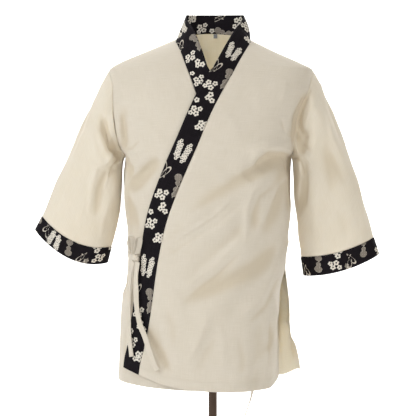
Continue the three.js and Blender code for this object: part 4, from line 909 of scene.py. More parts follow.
def panelGrid(name, rows, fromAngle, toAngle, hem, waveShift, lift=None):
    # one wall of cloth between two edges; the back has both of them at its side seams
    isBack = name == "back"
    under = name == "right_front"
    creaseTable = creases[hem]
    z = rows[:, None]
    start, end = fromAngle(rows)[:, None], toAngle(rows)[:, None]
    line = np.round(end / math.pi) * math.pi
    first = np.round(start / math.pi) * math.pi if isBack else start
    share = edgeShares(name)[None, :]
    angle = (mix(first, line, share) + (start - first) * smooth((0.65 - share) / 0.65)
             + (end - line) * smooth((share - 0.35) / 0.65))
    x = skin(angle, z)[..., 0]
    base = skin(angle, z, lift(x, z) if lift else 0.0, hem, under)
    normals = gridNormals(base)
    across = arcLengths(base, 1)
    fromEnd = across[:, -1:] - across
    calmWidth = panels["calmWidth"]
    calm = smooth(fromEnd / calmWidth) * smooth(across / (calmWidth if isBack else panels["calmFront"]))
    below = underShare(x, z) if under else 0.0
    topCalm = 1 - 0.75 * smooth((z - 975) / 40)
    sewn = smooth((z - np.where(x < centreX, jacket["ventRight"], jacket["ventLeft"])) / 6)
    crease = creaseHeight(x, z, creaseTable)
    ownSide = smooth((np.abs(np.cos(angle)) - 0.72) / 0.2) * (1 - 0.75 * below)
    sideShift = np.where(x < centreX, 0, 7)
    detail = crease * (1 - 0.75 * below)
    detail = detail + creaseHeight(base[..., 1] + sideShift, z, creases["bodySide"]) * ownSide
    detail = detail + ripples(x + waveShift, z, bodyWaves) * calm * topCalm * (1 - 0.6 * below)
    # turned hem with its row of stitches, and the edges sewn to their neighbours
    up = z - rows[0]
    detail = detail + 0.35 * (1 - smooth((up - 19.2) / 2.2)) - 0.26 * ridge(up - jacket["hemStitch"], 1.1)
    detail = detail + 0.22 * np.sin(across * 2 * math.pi / 9.5 + 1.3 * np.sin(across / 31)) * ridge(up - 12, 13)
    for edge in [fromEnd, across] if isBack else [fromEnd]:
        detail = detail * mix(1, smooth(edge / 6), sewn) + seamPuff(edge) * sewn
        turned = 0.3 * (1 - smooth((edge - 11) / 2.2)) - 0.24 * ridge(edge - jacket["ventStitch"], 1.3)
        detail = detail + turned * (1 - sewn)
    if not isBack:
        detail = detail - 0.7 * ridge(across, 2.2)
    outer = base + normals * detail[..., None]
    inner = outer - gridNormals(outer) * jacket["clothThickness"]
    # how deep the creases run here, kept as the mask for painted shade in the cloth colour
    deep = smooth(-(crease + 0.35 * foldHeight(x, z, folds["back" if isBack else "front"])) / 3.4)
    full = np.ones_like(across)
    uv = np.stack([across - across[:, across.shape[1] // 2, None], z * full], axis=-1)
    return {"outer": outer, "inner": inner, "across": across, "fromEnd": fromEnd, "up": up * full,
            "z": z * full, "uv": uv, "foldShadeMask": deep * full}


def overLift(x, z):
    return bands["seamLift"] * (1 - smooth((x - seamX["left"](z)) / 80))


grids = {
    "left_front": panelGrid("left_front", bodyRows, lambda z: angleAt(seamX["left"](z), z) - 0.002,
                            lambda z: sideEdge("left", z, True), "leftFront", 0.0, overLift),
    "right_front": panelGrid("right_front", bodyRows, lambda z: angleAt(seamX["right"](z), z) + 0.002,
                             lambda z: sideEdge("right", z, True), "rightFront", 61.0),
    "back": panelGrid("back", np.append(bodyRows, jacket["neckHeight"]), lambda z: sideEdge("right", z, False),
                      lambda z: sideEdge("left", z, False), "back", 137.0),
}
clothPieces = {}
for name, grid in grids.items():
    piece = wallPiece(name + "_cloth", grid["outer"], grid["inner"], grid["uv"],
                      values={"foldShadeMask": grid["foldShadeMask"]},
                      material=creamCottonBack if name == "back" else creamCotton)
    print(name, "area", round(gridArea(grid["outer"]), 4), "width", round(grid["across"][:, -1].max()),
          "length", round(arcLengths(grid["outer"], 0)[-1].max()), "faces", len(piece.data.polygons))
    clothPieces[name] = piece

for name, grid in grids.items():
    outer, normals = grid["outer"], gridNormals(grid["outer"])
    sewLine(creamStitches, pathAcross(outer, grid["up"], jacket["hemStitch"]),
            pathAcross(normals, grid["up"], jacket["hemStitch"]), threads["hem"])
    for key in ("fromEnd", "across") if name == "back" else ("fromEnd",):
        isRight = name == "right_front" or key == "across"
        rowsIn = grid["z"][:, 0] < (jacket["ventRight"] if isRight else jacket["ventLeft"])
        # np.interp needs values that grow along the row
        flip = slice(None, None, -1 if key == "fromEnd" else 1)
        values = grid[key][rowsIn][:, flip]
        sewLine(creamStitches, pathDown(outer[rowsIn][:, flip], values, jacket["ventStitch"]),
                pathDown(normals[rowsIn][:, flip], values, jacket["ventStitch"]), threads["hem"])
print("fronts and back made")

# the printed pattern
# Placed one by one on a lane as wide as the band; u runs along it and v across it, in millimetres.
motifs = {
    "repeat": 246.0,
    "flowers": [  # u, v, radius, turn
        (31, 33, 5.9, 0.2), (22, 24, 6.1, 0.9), (34, 20, 5.6, 1.7), (21, 36, 5.2, 0.4),
        (8, 17, 6.2, 0.5), (-3, 9, 6.0, 1.3), (-1, 20, 5.4, 0.1), (232, 37, 5.8, 1.1),
        (214, 35, 6.0, 0.3), (205, 27, 6.2, 1.2), (217, 23, 5.3, 0.7), (203, 38, 5.1, 0.5),
        (190, 10, 6.2, 0.3), (181, 4, 5.8, 1.0), (179, 14, 5.5, 1.9), (192, 0, 5.4, 0.6),
    ],
    "sandals": [(124, 30.5, 5), (122, 13.5, -7)],  # u, v, direction in degrees
    "gourds": [(67, 7, 196, 1.0), (42, 3, 168, 0.92)],  # u, v, direction, size
    "loops": [(76, 41, 16, 5.5, 20), (70, 37, 15, 5, -24)],  # u, v, half length, half width, direction
}


def turned(u, v, centreU, centreV, degrees):
    a = math.radians(degrees)
    du, dv = u - centreU, v - centreV
    return du * math.cos(a) + dv * math.sin(a), -du * math.sin(a) + dv * math.cos(a)


def flowerShape(u, v, radius, turn):
    # five round petals with dark lines between them and a dark eye
    best = np.full(u.shape, -99.0)
    for k in range(5):
        a = turn + k * 2 * math.pi / 5
        petal = np.hypot(u - 0.6 * radius * math.cos(a), v - 0.6 * radius * math.sin(a))
        best = np.maximum(best, 0.42 * radius - petal)
    for k in range(5):
        b = turn + (k + 0.5) * 2 * math.pi / 5
        gap = np.abs(-u * math.sin(b) + v * math.cos(b)) - 0.05 * radius
        ahead = u * math.cos(b) + v * math.sin(b)
        best = np.where((ahead > 0.3 * radius) & (ahead < radius), np.minimum(best, gap), best)
    return np.minimum(best, np.abs(np.hypot(u, v) - 0.27 * radius) - 0.06 * radius)


def sandalShape(u, v):
    # a sole packed with small blossoms, narrower at the waist
    waist = 1 - 0.14 * np.exp(-((u + 2) / 7) ** 2)
    blossom = np.full(u.shape, -99.0)
    for i in range(7):
        centre = -18.6 + i * 6.2
        # one blossom at the heel and the toe, a staggered pair between them
        pairs = ((0.0, 0.0),) if i in (0, 6) else ((-3.3, -1.3), (3.3, 1.3))
        for j, (aside, shift) in enumerate(pairs):
            petals = flowerShape(u - centre - shift, v / waist - aside, 3.75, 0.7 * i + j)
            blossom = np.maximum(blossom, petals)
    return blossom


def gourdShape(u, v):
    big = 7.6 - np.hypot(u + 4.6, v)
    small = 4.9 - np.hypot(u - 6.8, v)
    neck = np.where(np.abs(u - 2.0) < 5.4, 3.1 - np.abs(v), -99)
    stem = np.where((u > 11) & (u < 15.5), 0.8 - np.abs(v - 0.05 * (u - 11) ** 2), -99)
    return np.maximum.reduce([big, small, neck, stem])


def printValues(u, v, lanes=((0.0, 0.0),)):
    # how far inside each ink a point of the cloth lies, in millimetres; lanes lie side by side
    flower, gourd, line = (np.full(u.shape, -9.0) for ink in range(3))
    repeat = motifs["repeat"]
    for laneV, laneU in lanes:
        firstRepeat = math.floor((u.min() - laneU) / repeat) - 1
        lastRepeat = math.ceil((u.max() - laneU) / repeat) + 1
        for k in range(firstRepeat, lastRepeat + 1):
            shift = k * repeat + laneU

            def around(row, reach, direction=0.0):
                # the points near a motif, and their places in its own frame
                near = (np.abs(u - row[0] - shift) < reach) & (np.abs(v - row[1] - laneV) < reach)
                return near, *turned(u[near], v[near], row[0] + shift, row[1] + laneV, direction)

            for row in motifs["flowers"]:
                at, a, b = around(row, 9)
                flower[at] = np.maximum(flower[at], flowerShape(a, b, row[2], row[3] + k))
            for row in motifs["sandals"]:
                at, a, b = around(row, 28, row[2])
                flower[at] = np.maximum(flower[at], sandalShape(a, b))
            for row in motifs["gourds"]:
                at, a, b = around(row, 24, row[2])
                shape = gourdShape(a / row[3], b / row[3]) * row[3]
                gourd[at] = np.maximum(gourd[at], shape)
                vein = np.minimum(0.28 - np.abs(np.abs(b) - 2.6), shape - 1.2)
                line[at] = np.maximum(line[at], np.maximum(0.32 - np.abs(shape), vein))
            for row in motifs["loops"]:
                at, a, b = around(row, 26, row[4])
                length, width = row[2], row[3]
                ring = np.hypot(a / length, b / (width * (0.72 + 0.4 * a / length)))
                line[at] = np.maximum(line[at], 0.62 - np.abs(ring - 1) * width)
    return {"flowerInk": flower, "gourdInk": gourd, "lineInk": np.where(flower > -0.4, -9.0, line)}


# bands round the neck and down the fronts
def marchBand(side, seamZ, columns):
    # steps across the skin from the seam, square to it
    isLeft = side == "left"

    def seamPoint(z):
        return skin(angleAt(seamX[side](z), z), z)

    along = unit(seamPoint(seamZ + 6) - seamPoint(seamZ - 6))
    liftFree = bandLift[side](seamZ)
    step = (bandWidth - 0.22) / columns
    angle, height = angleAt(seamX[side](seamZ), seamZ), seamZ.astype(float)
    direction = unit(np.cross(skinNormal(angle, height), along))
    direction[direction[:, 0] * (-1 if isLeft else 1) < 0] *= -1
    stations = []
    for c in range(columns + 1):
        share = c / columns
        lift = mix(bands["seamLift"], liftFree, share) if isLeft else liftFree * smooth(share + 0.3)
        normal = skinNormal(angle, height)
        stations.append(skin(angle, height, lift, side + "Front", not isLeft))
        around = (skin(angle + 0.01, height) - skin(angle - 0.01, height)) * 50
        up = (skin(angle, height + 1) - skin(angle, height - 1)) * 0.5
        direction = unit(direction - normal * (direction * normal).sum(-1, keepdims=True))
        aa, uu, au = (around * around).sum(-1), (up * up).sum(-1), (around * up).sum(-1)
        ad, ud = (around * direction).sum(-1), (up * direction).sum(-1)
        det = aa * uu - au * au
        angle = angle + step * (ad * uu - ud * au) / det
        height = height + step * (ud * aa - ad * au) / det
    return np.stack(stations, axis=1)


def collarGrid(side, columns):
    # from the chest up, then round the back of the neck to the centre
    isLeft = side == "left"
    seamLift = bands["seamLift"] if isLeft else 0.0
    front = curvesOf(collarFront[side], ["x", "y", "z", "bulge"])
    neckZ = jacket["neckHeight"] - 2
    z = np.arange(970.0, 1047.5, 1.1)
    seam = skin(angleAt(seamX[side](z), z), z, seamLift)
    free = np.stack([front[key](z) for key in "xyz"], axis=-1)
    bulge = front["bulge"](z)
    firstAngle = math.degrees(float(angleAt(seamX[side](neckZ), neckZ)))
    firstAngle = -firstAngle if isLeft else firstAngle - 180
    rows = [(firstAngle, *free[-1], bulge[-1])] + collarBack[side]
    back = curvesOf(rows, ["x", "y", "z", "bulge"])
    degrees = np.arange(firstAngle + 0.8, rows[-1][0] + 0.01, 0.8)
    degrees[-1] = rows[-1][0]
    angle = 2 * math.pi - np.radians(degrees) if isLeft else math.pi + np.radians(degrees)
    pastFront = degrees - firstAngle
    seamBack = skin(angle, np.minimum(jacket["neckHeight"], neckZ + 2 * smooth(pastFront / 12)))
    lift = seamLift * (1 - smooth(pastFront / 14))
    outward = np.stack([np.cos(angle), -np.sin(angle), np.zeros_like(angle)], axis=-1)
    seam = np.concatenate([seam, seamBack + lift[:, None] * outward])
    free = np.concatenate([free, np.stack([back[key](degrees) for key in "xyz"], axis=-1)])
    bulge = np.concatenate([bulge, back["bulge"](degrees)])
    kernel = np.array([1, 2, 3, 4, 3, 2, 1]) / 16
    for _ in range(3):
        for values in (seam, free):
            padded = np.concatenate([np.repeat(values[:1], 3, 0), values, np.repeat(values[-1:], 3, 0)])
            smoothed = np.stack([np.convolve(padded[:, i], kernel, "valid") for i in range(3)], axis=-1)
            values[2:-2] = smoothed[2:-2]
    reach = free - seam
    seam = seam - unit(reach) * bands["overlap"]
    out = unit(np.cross(reach, np.gradient(seam, axis=0))) * (-1 if isLeft else 1)
    share = np.linspace(0, 1, columns + 1)[None, :, None]
    points = seam[:, None] * (1 - share) + free[:, None] * share
    return points + out[:, None] * (bulge[:, None, None] * 4 * share * (1 - share))


def pillowWall(outer, thickness, rounding, wrap=False, down=None):
    # a folded strip: full thickness in the middle, rounded at its long edges
    normals = gridNormals(outer, wrap)
    distance = arcLengths(outer, 1) if down is None else down
    edge = np.minimum(distance, distance.max(axis=1 if down is None else 0, keepdims=True) - distance)
    half = thickness / 2 * np.sqrt(np.clip(1 - (1 - np.minimum(edge, rounding) / rounding) ** 2, 0.02, 1))
    middle = outer - normals * thickness / 2
    return middle + normals * half[..., None], middle - normals * half[..., None]


bandRows = np.arange(jacket["hemHeight"], bands["chestTop"], bands["rowStep"])
for side in ("left", "right"):
    settings = bands[side]
    columns = bands["columns"]
    grid = np.concatenate([marchBand(side, bandRows, columns), collarGrid(side, columns)])
    # even out the step between chest and collar
    kernel = np.hanning(17)[1:-1]
    kernel /= kernel.sum()

    def blur(column):
        return np.convolve(np.pad(column, 7, mode="edge"), kernel, "valid")

    blurred = np.stack([np.apply_along_axis(blur, 0, grid[..., i]) for i in range(3)], axis=-1)
    weight = smooth(1 - np.abs(np.arange(len(grid)) - len(bandRows)) / 26.0)[:, None, None]
    grid = grid * (1 - weight) + blurred * weight
    across = arcLengths(grid, 1)
    along = arcLengths(grid, 0)[:, columns // 2, None] * np.ones((1, columns + 1))
    share = across / across[:, -1:]
    v = share * bandWidth
    uneven = (0.5 * np.sin(along / 21 + 1.4 * np.sin(along / 47)) * np.sin(share * math.pi)
              + 0.35 * np.sin(along / 9.3 + v / 12) * share ** 2 * smooth((1 - share) * 6 + 0.4))
    grooves = sum(-0.32 * ridge(v - at, 0.9) for at in bands["stitchRows"])
    raised = bands["stand"] + uneven * settings["unevenness"] + grooves
    grid = grid + gridNormals(grid) * raised[..., None]
    outer, inner = pillowWall(grid, bands["thickness"], bands["edgeRound"])
    values = printValues(along + settings["printShift"], v if side == "left" else bandWidth - v)
    piece = wallPiece(side + "_band_cloth", outer, inner, np.stack([along, v], axis=-1), values=values,
                      material=printedCotton)
    normals = gridNormals(outer)
    for target in bands["stitchRows"]:
        sewLine(blackStitches, pathDown(outer, v, target), pathDown(normals, v, target), threads["band"])
    print(side, "band area", round(gridArea(outer), 4), "length", round(along[-1, 0]),
          "faces", len(piece.data.polygons))
    clothPieces[side + "_band"] = piece
print("bands made")


# sleeves and cuffs
sleeves = {
    "columns": 156, "rows": 104, "creaseGain": 1.2, "waveGain": 1.15,
    "right": {"flat": (0.469, 0.337), "area": 0.0991, "waveShift": 89, "outerShift": 13},
    "left": {"flat": (0.453, 0.373), "area": 0.1104, "waveShift": 31, "outerShift": 0},
}
cuffs = {
    "columns": 300, "rows": 38, "thickness": 2.4, "edgeRound": 1.4, "stitchRows": (2.4, 41.4), "stand": 0.9,
    # where the pattern starts on the cuff, and the distance between its lanes
    "printStart": 100.0, "laneStep": 47.0,
    # lanes: shift round the cuff, and the pattern's start
    "right": {"flat": (0.400, 0.036), "area": 0.0139, "lanes": [
        (0, 41), (-5, 1), (0, 60), (-2, 100), (0, -90), (0, 48), (0, 140), (4, -6), (0, 118)]},
    "left": {"flat": (0.391, 0.040), "area": 0.0155, "lanes": [
        (0, -50), (-6, 52), (-8, 100), (0, 58), (2, -95), (0, 0), (0, 130), (0, 84), (0, 40)]},
}


def armholePoint(side, angles):
    half = (jacket["shoulderTipHeight"] - jacket["armpitHeight"]) / 2
    z = jacket["armpitHeight"] + half + half * np.cos(angles)
    front = skin(sideEdge(side, z, True), z)
    back = skin(sideEdge(side, z, False), z)
    return np.where((np.sin(angles) >= 0)[:, None], front, back)


def sleeveSurface(side, t, angles, startShape=None):
    # startShape is how far each point of the first ring lies off the plain tube
    ring = curvesOf(sleeveRings[side], ["outerX", "outerZ", "innerX", "innerZ", "depth", "drop"])
    t = t[:, None]
    a = angles[None, :]
    level = np.full(t.shape, sideY)
    outer = np.stack([ring["outerX"](t), level, ring["outerZ"](t)], axis=-1)
    inner = np.stack([ring["innerX"](t), level, ring["innerZ"](t)], axis=-1)
    points = (outer + inner) / 2 + (outer - inner) / 2 * np.cos(a)[..., None]
    points[..., 1] -= ring["depth"](t) * np.sin(a) * (1 + 0.06 * np.sin(2 * a) ** 2)
    points[..., 2] -= ring["drop"](t) * np.maximum(0, np.sin(a)) ** 2
    if startShape is not None:
        points = points + startShape[None] * (1 - smooth(t / sleeveBlend))[..., None]
    return points


def lengthsAround(base):
    return arcLengths(np.concatenate([base, base[:, :1]], axis=1), 1)[:, :-1]


for side in ("right", "left"):
    settings = sleeves[side]
    angles = np.linspace(0, 2 * math.pi, sleeves["columns"], endpoint=False)
    startShape = armholePoint(side, angles) - sleeveSurface(side, np.array([0.0]), angles)[0]
    t = np.concatenate([[0, 0.004, 0.009, 0.016], np.linspace(0.025, 0.975, sleeves["rows"]),
                        [0.984, 0.991, 0.996, 1.0]])
    base = sleeveSurface(side, t, angles, startShape)
    normals = gridNormals(base, True)
    x, z = base[..., 0], base[..., 2]
    down = arcLengths(base, 0)
    fromCuff = down[-1:] - down
    around = lengthsAround(base)
    cosine, sine = np.cos(angles)[None, :], np.sin(angles)[None, :]
    fine = (creaseHeight(x, z, creases[side + "SleeveFront"]) * smooth(sine / 0.3)
            + creaseHeight(x, z, creases["sleeveBack"]) * smooth(-sine / 0.3))
    forward = sine * (1 - 0.4 * cosine) * 90 + settings["outerShift"]
    fine = fine + creaseHeight(forward, down, creases["sleeveOuter"]) * smooth(cosine / 0.35)
    ends = smooth(down / 16) * smooth(fromCuff / 14)
    wave = ripples(x * 1.1 + settings["waveShift"], z + 40 * sine, bodyWaves) * ends * sleeves["waveGain"]
    pucker = 0.25 * np.sin(around * 2 * math.pi / 13) * ridge(down - 7, 8)
    fromUnderSeam = np.abs(angles - math.pi)[None, :] * around.max(axis=1)[:, None] / (2 * math.pi)
    detail = sleeves["creaseGain"] * fine * smooth(fromCuff / 6) + wave + pucker - 0.9 * ridge(fromUnderSeam, 1.8)
    detail = detail * smooth(down / 6) + seamPuff(down) - 0.9 * ridge(fromCuff, 1.8)
    outer = base + normals * detail[..., None]
    inner = outer - gridNormals(outer, True) * jacket["clothThickness"]
    # the deepest creases are kept as the mask for painted shade in the cloth colour
    clothPieces[side + "_sleeve"] = wallPiece(
        side + "_sleeve_cloth", outer, inner, np.stack([around, down], axis=-1), wrap=True,
        values={"foldShadeMask": smooth(-fine / 2.6)}, material=creamCottonSingle)
    print(side, "sleeve area", round(gridArea(outer, True), 4), "round", round(around.max()),
          "length", round(down.max()))

    angles = np.linspace(0, 2 * math.pi, cuffs["columns"], endpoint=False)
    base = sleeveSurface(side, np.linspace(1.001, 1.1, cuffs["rows"]), angles)
    down = arcLengths(base, 0)
    around = lengthsAround(base)
    v = down / down[-1:] * bandWidth
    uneven = 0.5 * np.sin(around / 17 + 1.2 * np.sin(around / 37)) * smooth(down / 12) + cuffs["stand"]
    grooves = sum(-0.3 * ridge(v - at, 0.9) for at in cuffs["stitchRows"])
    base = base + gridNormals(base, True) * (uneven + grooves)[..., None]
    outer, inner = pillowWall(base, cuffs["thickness"], cuffs["edgeRound"], True, down)
    lanes = [(cuffs["laneStep"] * k + shift, start) for k, (shift, start) in enumerate(cuffs[side]["lanes"])]
    clothPieces[side + "_cuff"] = wallPiece(
        side + "_cuff_cloth", outer, inner, np.stack([around, v], axis=-1), wrap=True,
        values=printValues(v + cuffs["printStart"], around, lanes), material=printedCotton)
    normals = gridNormals(outer, True)
    for target in cuffs["stitchRows"]:
        sewLine(blackStitches, pathAcross(outer, v, target), pathAcross(normals, v, target), threads["band"])
    print(side, "cuff area", round(gridArea(outer, True), 4), "round", round(around.max()),
          "depth", round(down.max()))
print("sleeves and cuffs made")


# ties, knot and label
def smoothPath(points, step):
    # a curve through the points, cut into even steps
    p = np.asarray(points, float)
    ends = np.concatenate([[2 * p[0] - p[1]], p, [2 * p[-1] - p[-2]]])
    t = np.linspace(0, 1, 24, endpoint=False)[:, None]
    dense = []
    for a, b, c, d in zip(ends[:-3], ends[1:-2], ends[2:-1], ends[3:]):
        square, cube = 2 * a - 5 * b + 4 * c - d, 3 * b - a - 3 * c + d
        dense.append(0.5 * (2 * b + (c - a) * t + square * t**2 + cube * t**3))
    dense = np.concatenate(dense + [p[-1:]])
    along = np.concatenate([[0], np.cumsum(np.linalg.norm(np.diff(dense, axis=0), axis=-1))])
    at = np.linspace(0, along[-1], max(4, int(along[-1] / step) + 1))
    return np.stack([np.interp(at, along, dense[:, i]) for i in range(dense.shape[1])], axis=-1)


def ribbonPiece(node, path, acrossWay, width, thickness, twist=0.0, phase=0.0, hemmed=False):
    # a folded and stitched tie: rounded long edges, a row of stitches, a little twist and wave
    along = np.concatenate([[0], np.cumsum(np.linalg.norm(np.diff(path, axis=0), axis=-1))])
    tangent = unit(np.gradient(path, axis=0))
    acrossWay = unit(acrossWay - tangent * (acrossWay * tangent).sum(-1, keepdims=True))
    normal = np.cross(tangent, acrossWay)
    turn = twist * np.sin(along / 34 + phase) + 0.5 * twist * np.sin(along / 13 + 2 * phase)
    a = acrossWay * np.cos(turn)[:, None] + normal * np.sin(turn)[:, None]
    n = normal * np.cos(turn)[:, None] - acrossWay * np.sin(turn)[:, None]
    share = np.concatenate([[-1, -0.985, -0.95, -0.9], np.linspace(-0.82, 0.82, 11), [0.9, 0.95, 0.985, 1]])
    half = width / 2 * (1 + 0.025 * np.sin(along / 11 + phase))
    v = share[None, :] * half[:, None]
    edge = np.minimum(half[:, None] - np.abs(v), 9.0)
    toEnd = (along[-1] - along)[:, None] * np.ones_like(v)
    if hemmed:
        edge = np.minimum(edge, toEnd)
    rounding = thickness * 0.55
    deep = thickness / 2 * np.sqrt(np.clip(1 - (1 - np.minimum(edge, rounding) / rounding) ** 2, 0.03, 1))
    seam = -0.16 * ridge(half[:, None] - v - ties["seamIn"], 0.55)
    nearEnd = np.minimum(along, along[-1] - along)[:, None]
    hems = -0.16 * ridge(nearEnd - 6.0, 0.6) if hemmed else 0.0
    puff = 0.12 * np.sin(along / 2.9 + phase)[:, None] * np.cos(share * 1.4)[None, :]
    flutter = 0.3 * min(1.0, twist * 6) * np.sin(along / 8 + phase)
    middle = path[:, None] + a[:, None] * v[..., None] + n[:, None] * flutter[:, None, None]
    outer = middle + n[:, None] * (deep + seam + hems + puff * (deep > thickness * 0.4))[..., None]
    inner = middle - n[:, None] * (deep + seam)[..., None]
    uv = np.stack([v, along[:, None] * np.ones_like(v)], axis=-1)
    tiePieces[node] = wallPiece(node + "_cloth", outer, inner, uv, material=creamCotton)
    tieLengths[node] = along[-1]
    stitched = path + a * (half - ties["seamIn"])[:, None] + n * (thickness / 2 - 0.14)
    sewLine(creamStitches, stitched, n, threads["tie"])


ties = {
    "knotX": -158.0, "knotZ": 600.0, "stand": 13.0, "halfWidth": 10.5, "halfDepth": 6.0, "halfHeight": 9.0,
    "width": 11.8, "thickness": 1.7, "cut": 12.0, "twist": 0.16, "seamIn": 1.7, "pathStep": 1.7,
    "tailSide": [(-161.2, 591.4, 12.4), (-168, 560, 11), (-170.5, 525, 9.5), (-171.5, 490, 9),
                 (-171, 455, 9), (-168.5, 425, 9), (-165, 398, 9)],  # x, height, distance off the cloth
    "tailFront": [(-152.3, 590.2, 13), (-156, 560, 12), (-156, 528, 12), (-154, 500, 12), (-149, 470, 11),
                  (-140, 441, 9), (-130, 413, 7.5), (-121, 388, 7), (-113, 372, 7)],
    # across the ear at its height, then the share of its height
    "ear": [(-1.7, 0), (-3.4, 0.14), (-5, 0.32), (-5.8, 0.52), (-5.6, 0.71), (-4.3, 0.87), (-2, 0.97),
            (0.6, 1), (3, 0.93), (4.5, 0.8), (4.9, 0.63), (4.4, 0.44), (3.3, 0.26), (2.3, 0.11), (1.7, 0)],
    "earSide": {"shift": -6.0, "lean": -7.0, "rise": 34.0},
    "earFront": {"shift": 5.5, "lean": 8.0, "rise": 32.0},
    "earWidth": 9.5, "earThickness": 1.5, "earTwist": 0.05, "earTurn": -0.5, "earOverlap": 2.2,
    "rootWidth": 9.0, "rootThickness": 1.4,
    "inner": [(88, 600, 0), (90, 540, 0), (90, 470, 0), (90, 400, 0.2), (88, 345, 0.5), (84, 318, 0.75),
              (77, 298, 0.9), (71, 281, 1)],  # x, height, turn towards the viewer
    "innerWidth": 9.6, "innerThickness": 1.6, "innerCut": 10.2,
}


def offSkin(angle, z, distance):
    angle, z, distance = np.broadcast_arrays(*(np.asarray(value, float) for value in (angle, z, distance)))
    return skin(angle, z) + skinNormal(angle, z) * distance[..., None]


def skinAcross(angle, z):
    angle, z = np.broadcast_arrays(np.asarray(angle, float), np.asarray(z, float))
    return unit(skin(angle - 0.05, z) - skin(angle + 0.05, z))


knotAngle = angleAt(ties["knotX"], ties["knotZ"], True, ties["stand"])
knotAt = offSkin(knotAngle, ties["knotZ"], ties["stand"])
knotAcross = skinAcross(knotAngle, ties["knotZ"])
knotOut = skinNormal(np.asarray(knotAngle), np.asarray(ties["knotZ"]))
tiePieces, tieLengths = {}, {}
for key, node, phase in (("tailSide", "tie_tail_side", 0.7), ("tailFront", "tie_tail_front", 2.9)):
    x, z, off = np.array(ties[key], float).T
    angle = angleAt(x, z, True, off)
    path = smoothPath(offSkin(angle, z, off), ties["pathStep"])
    share, known = np.linspace(0, 1, len(path)), np.linspace(0, 1, len(angle))
    ways = skinAcross(angle, z)
    ways = np.stack([np.interp(share, known, ways[:, i]) for i in range(3)], axis=-1)
    ribbonPiece(node, path, ways, ties["width"], ties["thickness"], ties["twist"], phase, True)
for key, node, phase in (("earSide", "tie_loop_side", 0.4), ("earFront", "tie_loop_front", 1.8)):
    ear = ties[key]
    rows = []
    for across, up in ties["ear"]:
        place = knotAt + knotAcross * (ear["shift"] + ear["lean"] * up + across)
        place[2] += ties["halfHeight"] - ties["earOverlap"] + (ear["rise"] + 1.8) * up
        rows.append(place)
    path = smoothPath(rows, 1.1)
    way = np.broadcast_to(unit(knotOut + knotAcross * ties["earTurn"]), path.shape)
    ribbonPiece(node, path, way, ties["earWidth"], ties["earThickness"], ties["earTwist"], phase)


def tieRoot(node, angles, heights, distances, step):
    # the short end that runs from the cloth's edge into the knot
    path = smoothPath(offSkin(angles, heights, distances), step)
    ribbonPiece(node, path, np.tile([0.0, 0.0, 1.0], (len(path), 1)), ties["rootWidth"], ties["rootThickness"])


steps = np.linspace(0, 1, 9)
tieRoot("tie_root_side", mix(math.pi - 0.04, knotAngle + 0.068, steps), mix(604.0, 601.0, steps),
        mix(1.3, 12.5, steps**3), 1.3)
steps = np.linspace(0, 1, 4)
tieRoot("tie_root_front", mix(angleAt(-150, 602, True, 3), angleAt(-150.8, 601, True, 7), steps),
        mix(602.0, 601.0, steps), mix(2.2, 7.0, steps), 0.9)

# the knot: one turn of the tie pulled slantwise over the bunched cloth
polar = np.linspace(0.02, math.pi - 0.02, 56)[:, None]
azimuth = np.linspace(0, 2 * math.pi, 96, endpoint=False)[None, :]
unitX = np.sin(polar) * np.cos(azimuth)
unitY = -np.sin(polar) * np.sin(azimuth)
unitZ = np.cos(polar) * np.ones_like(azimuth)
slant = unitZ * 0.92 + unitX * 0.38
wrap = smooth((0.56 - np.abs(slant - 0.02)) / 0.13)
bunch = 0.075 * np.sin(7 * azimuth + 1.1) * (1 - wrap) * smooth(np.abs(unitZ) / 0.4)
second = smooth((0.2 - np.abs(slant + 0.3 - 0.5 * unitX)) / 0.08) * smooth(unitX / 0.3) * 0.05
size = 0.86 + 0.14 * wrap + bunch + second - 0.05 * ridge(slant - 0.06, 0.07) * wrap
size = (size * (1 - 0.12 * np.abs(unitX) ** 3))[..., None]
knotWay = unit(np.array([knotAcross[0], knotAcross[1], 0.0]))
knotBack = np.array([-knotWay[1], knotWay[0], 0.0])
knotGrid = (knotAt + (unitX * ties["halfWidth"])[..., None] * size * knotWay
            + (unitY * ties["halfDepth"])[..., None] * size * knotBack
            + (unitZ * ties["halfHeight"])[..., None] * size * np.array([0, 0, 1.0]))
rows, columns = knotGrid.shape[:2]
index = np.arange(rows * columns).reshape(rows, columns)
index = np.concatenate([index, index[:, :1]], axis=1)
quads = np.stack([index[:-1, :-1].ravel(), index[1:, :-1].ravel(), index[1:, 1:].ravel(),
                  index[:-1, 1:].ravel()], axis=1)
uv = np.stack([azimuth / math.pi * 12 * np.ones_like(polar), polar * 9 * np.ones_like(azimuth)], axis=-1)
knot = meshPiece("tie_knot_cloth", knotGrid.reshape(-1, 3), quads, uv.reshape(-1, 2), material=creamCotton)
closing = bmesh.new()
closing.from_mesh(knot.data)
bmesh.ops.holes_fill(closing, edges=[e for e in closing.edges if e.is_boundary], sides=0)
bmesh.ops.recalc_face_normals(closing, faces=closing.faces)
closing.to_mesh(knot.data)
closing.free()
tiePieces["tie_knot"] = knot

# the tie of the under front, which hangs inside and shows below the hem
x, z, turn = np.array(ties["inner"], float).T
onCloth = np.maximum(jacket["hemHeight"], z)
rows = skin(angleAt(x, onCloth), onCloth, -8 - 4 * turn)
rows[:, 2] = z
path = smoothPath(rows, ties["pathStep"])
turn = np.interp(path[::-1, 2], z[::-1], turn[::-1])[::-1]
way = np.stack([1 - turn, turn, np.zeros_like(turn)], axis=-1)
ribbonPiece("inner_tie", path, way, ties["innerWidth"], ties["innerThickness"], 0.05, 1.2, True)

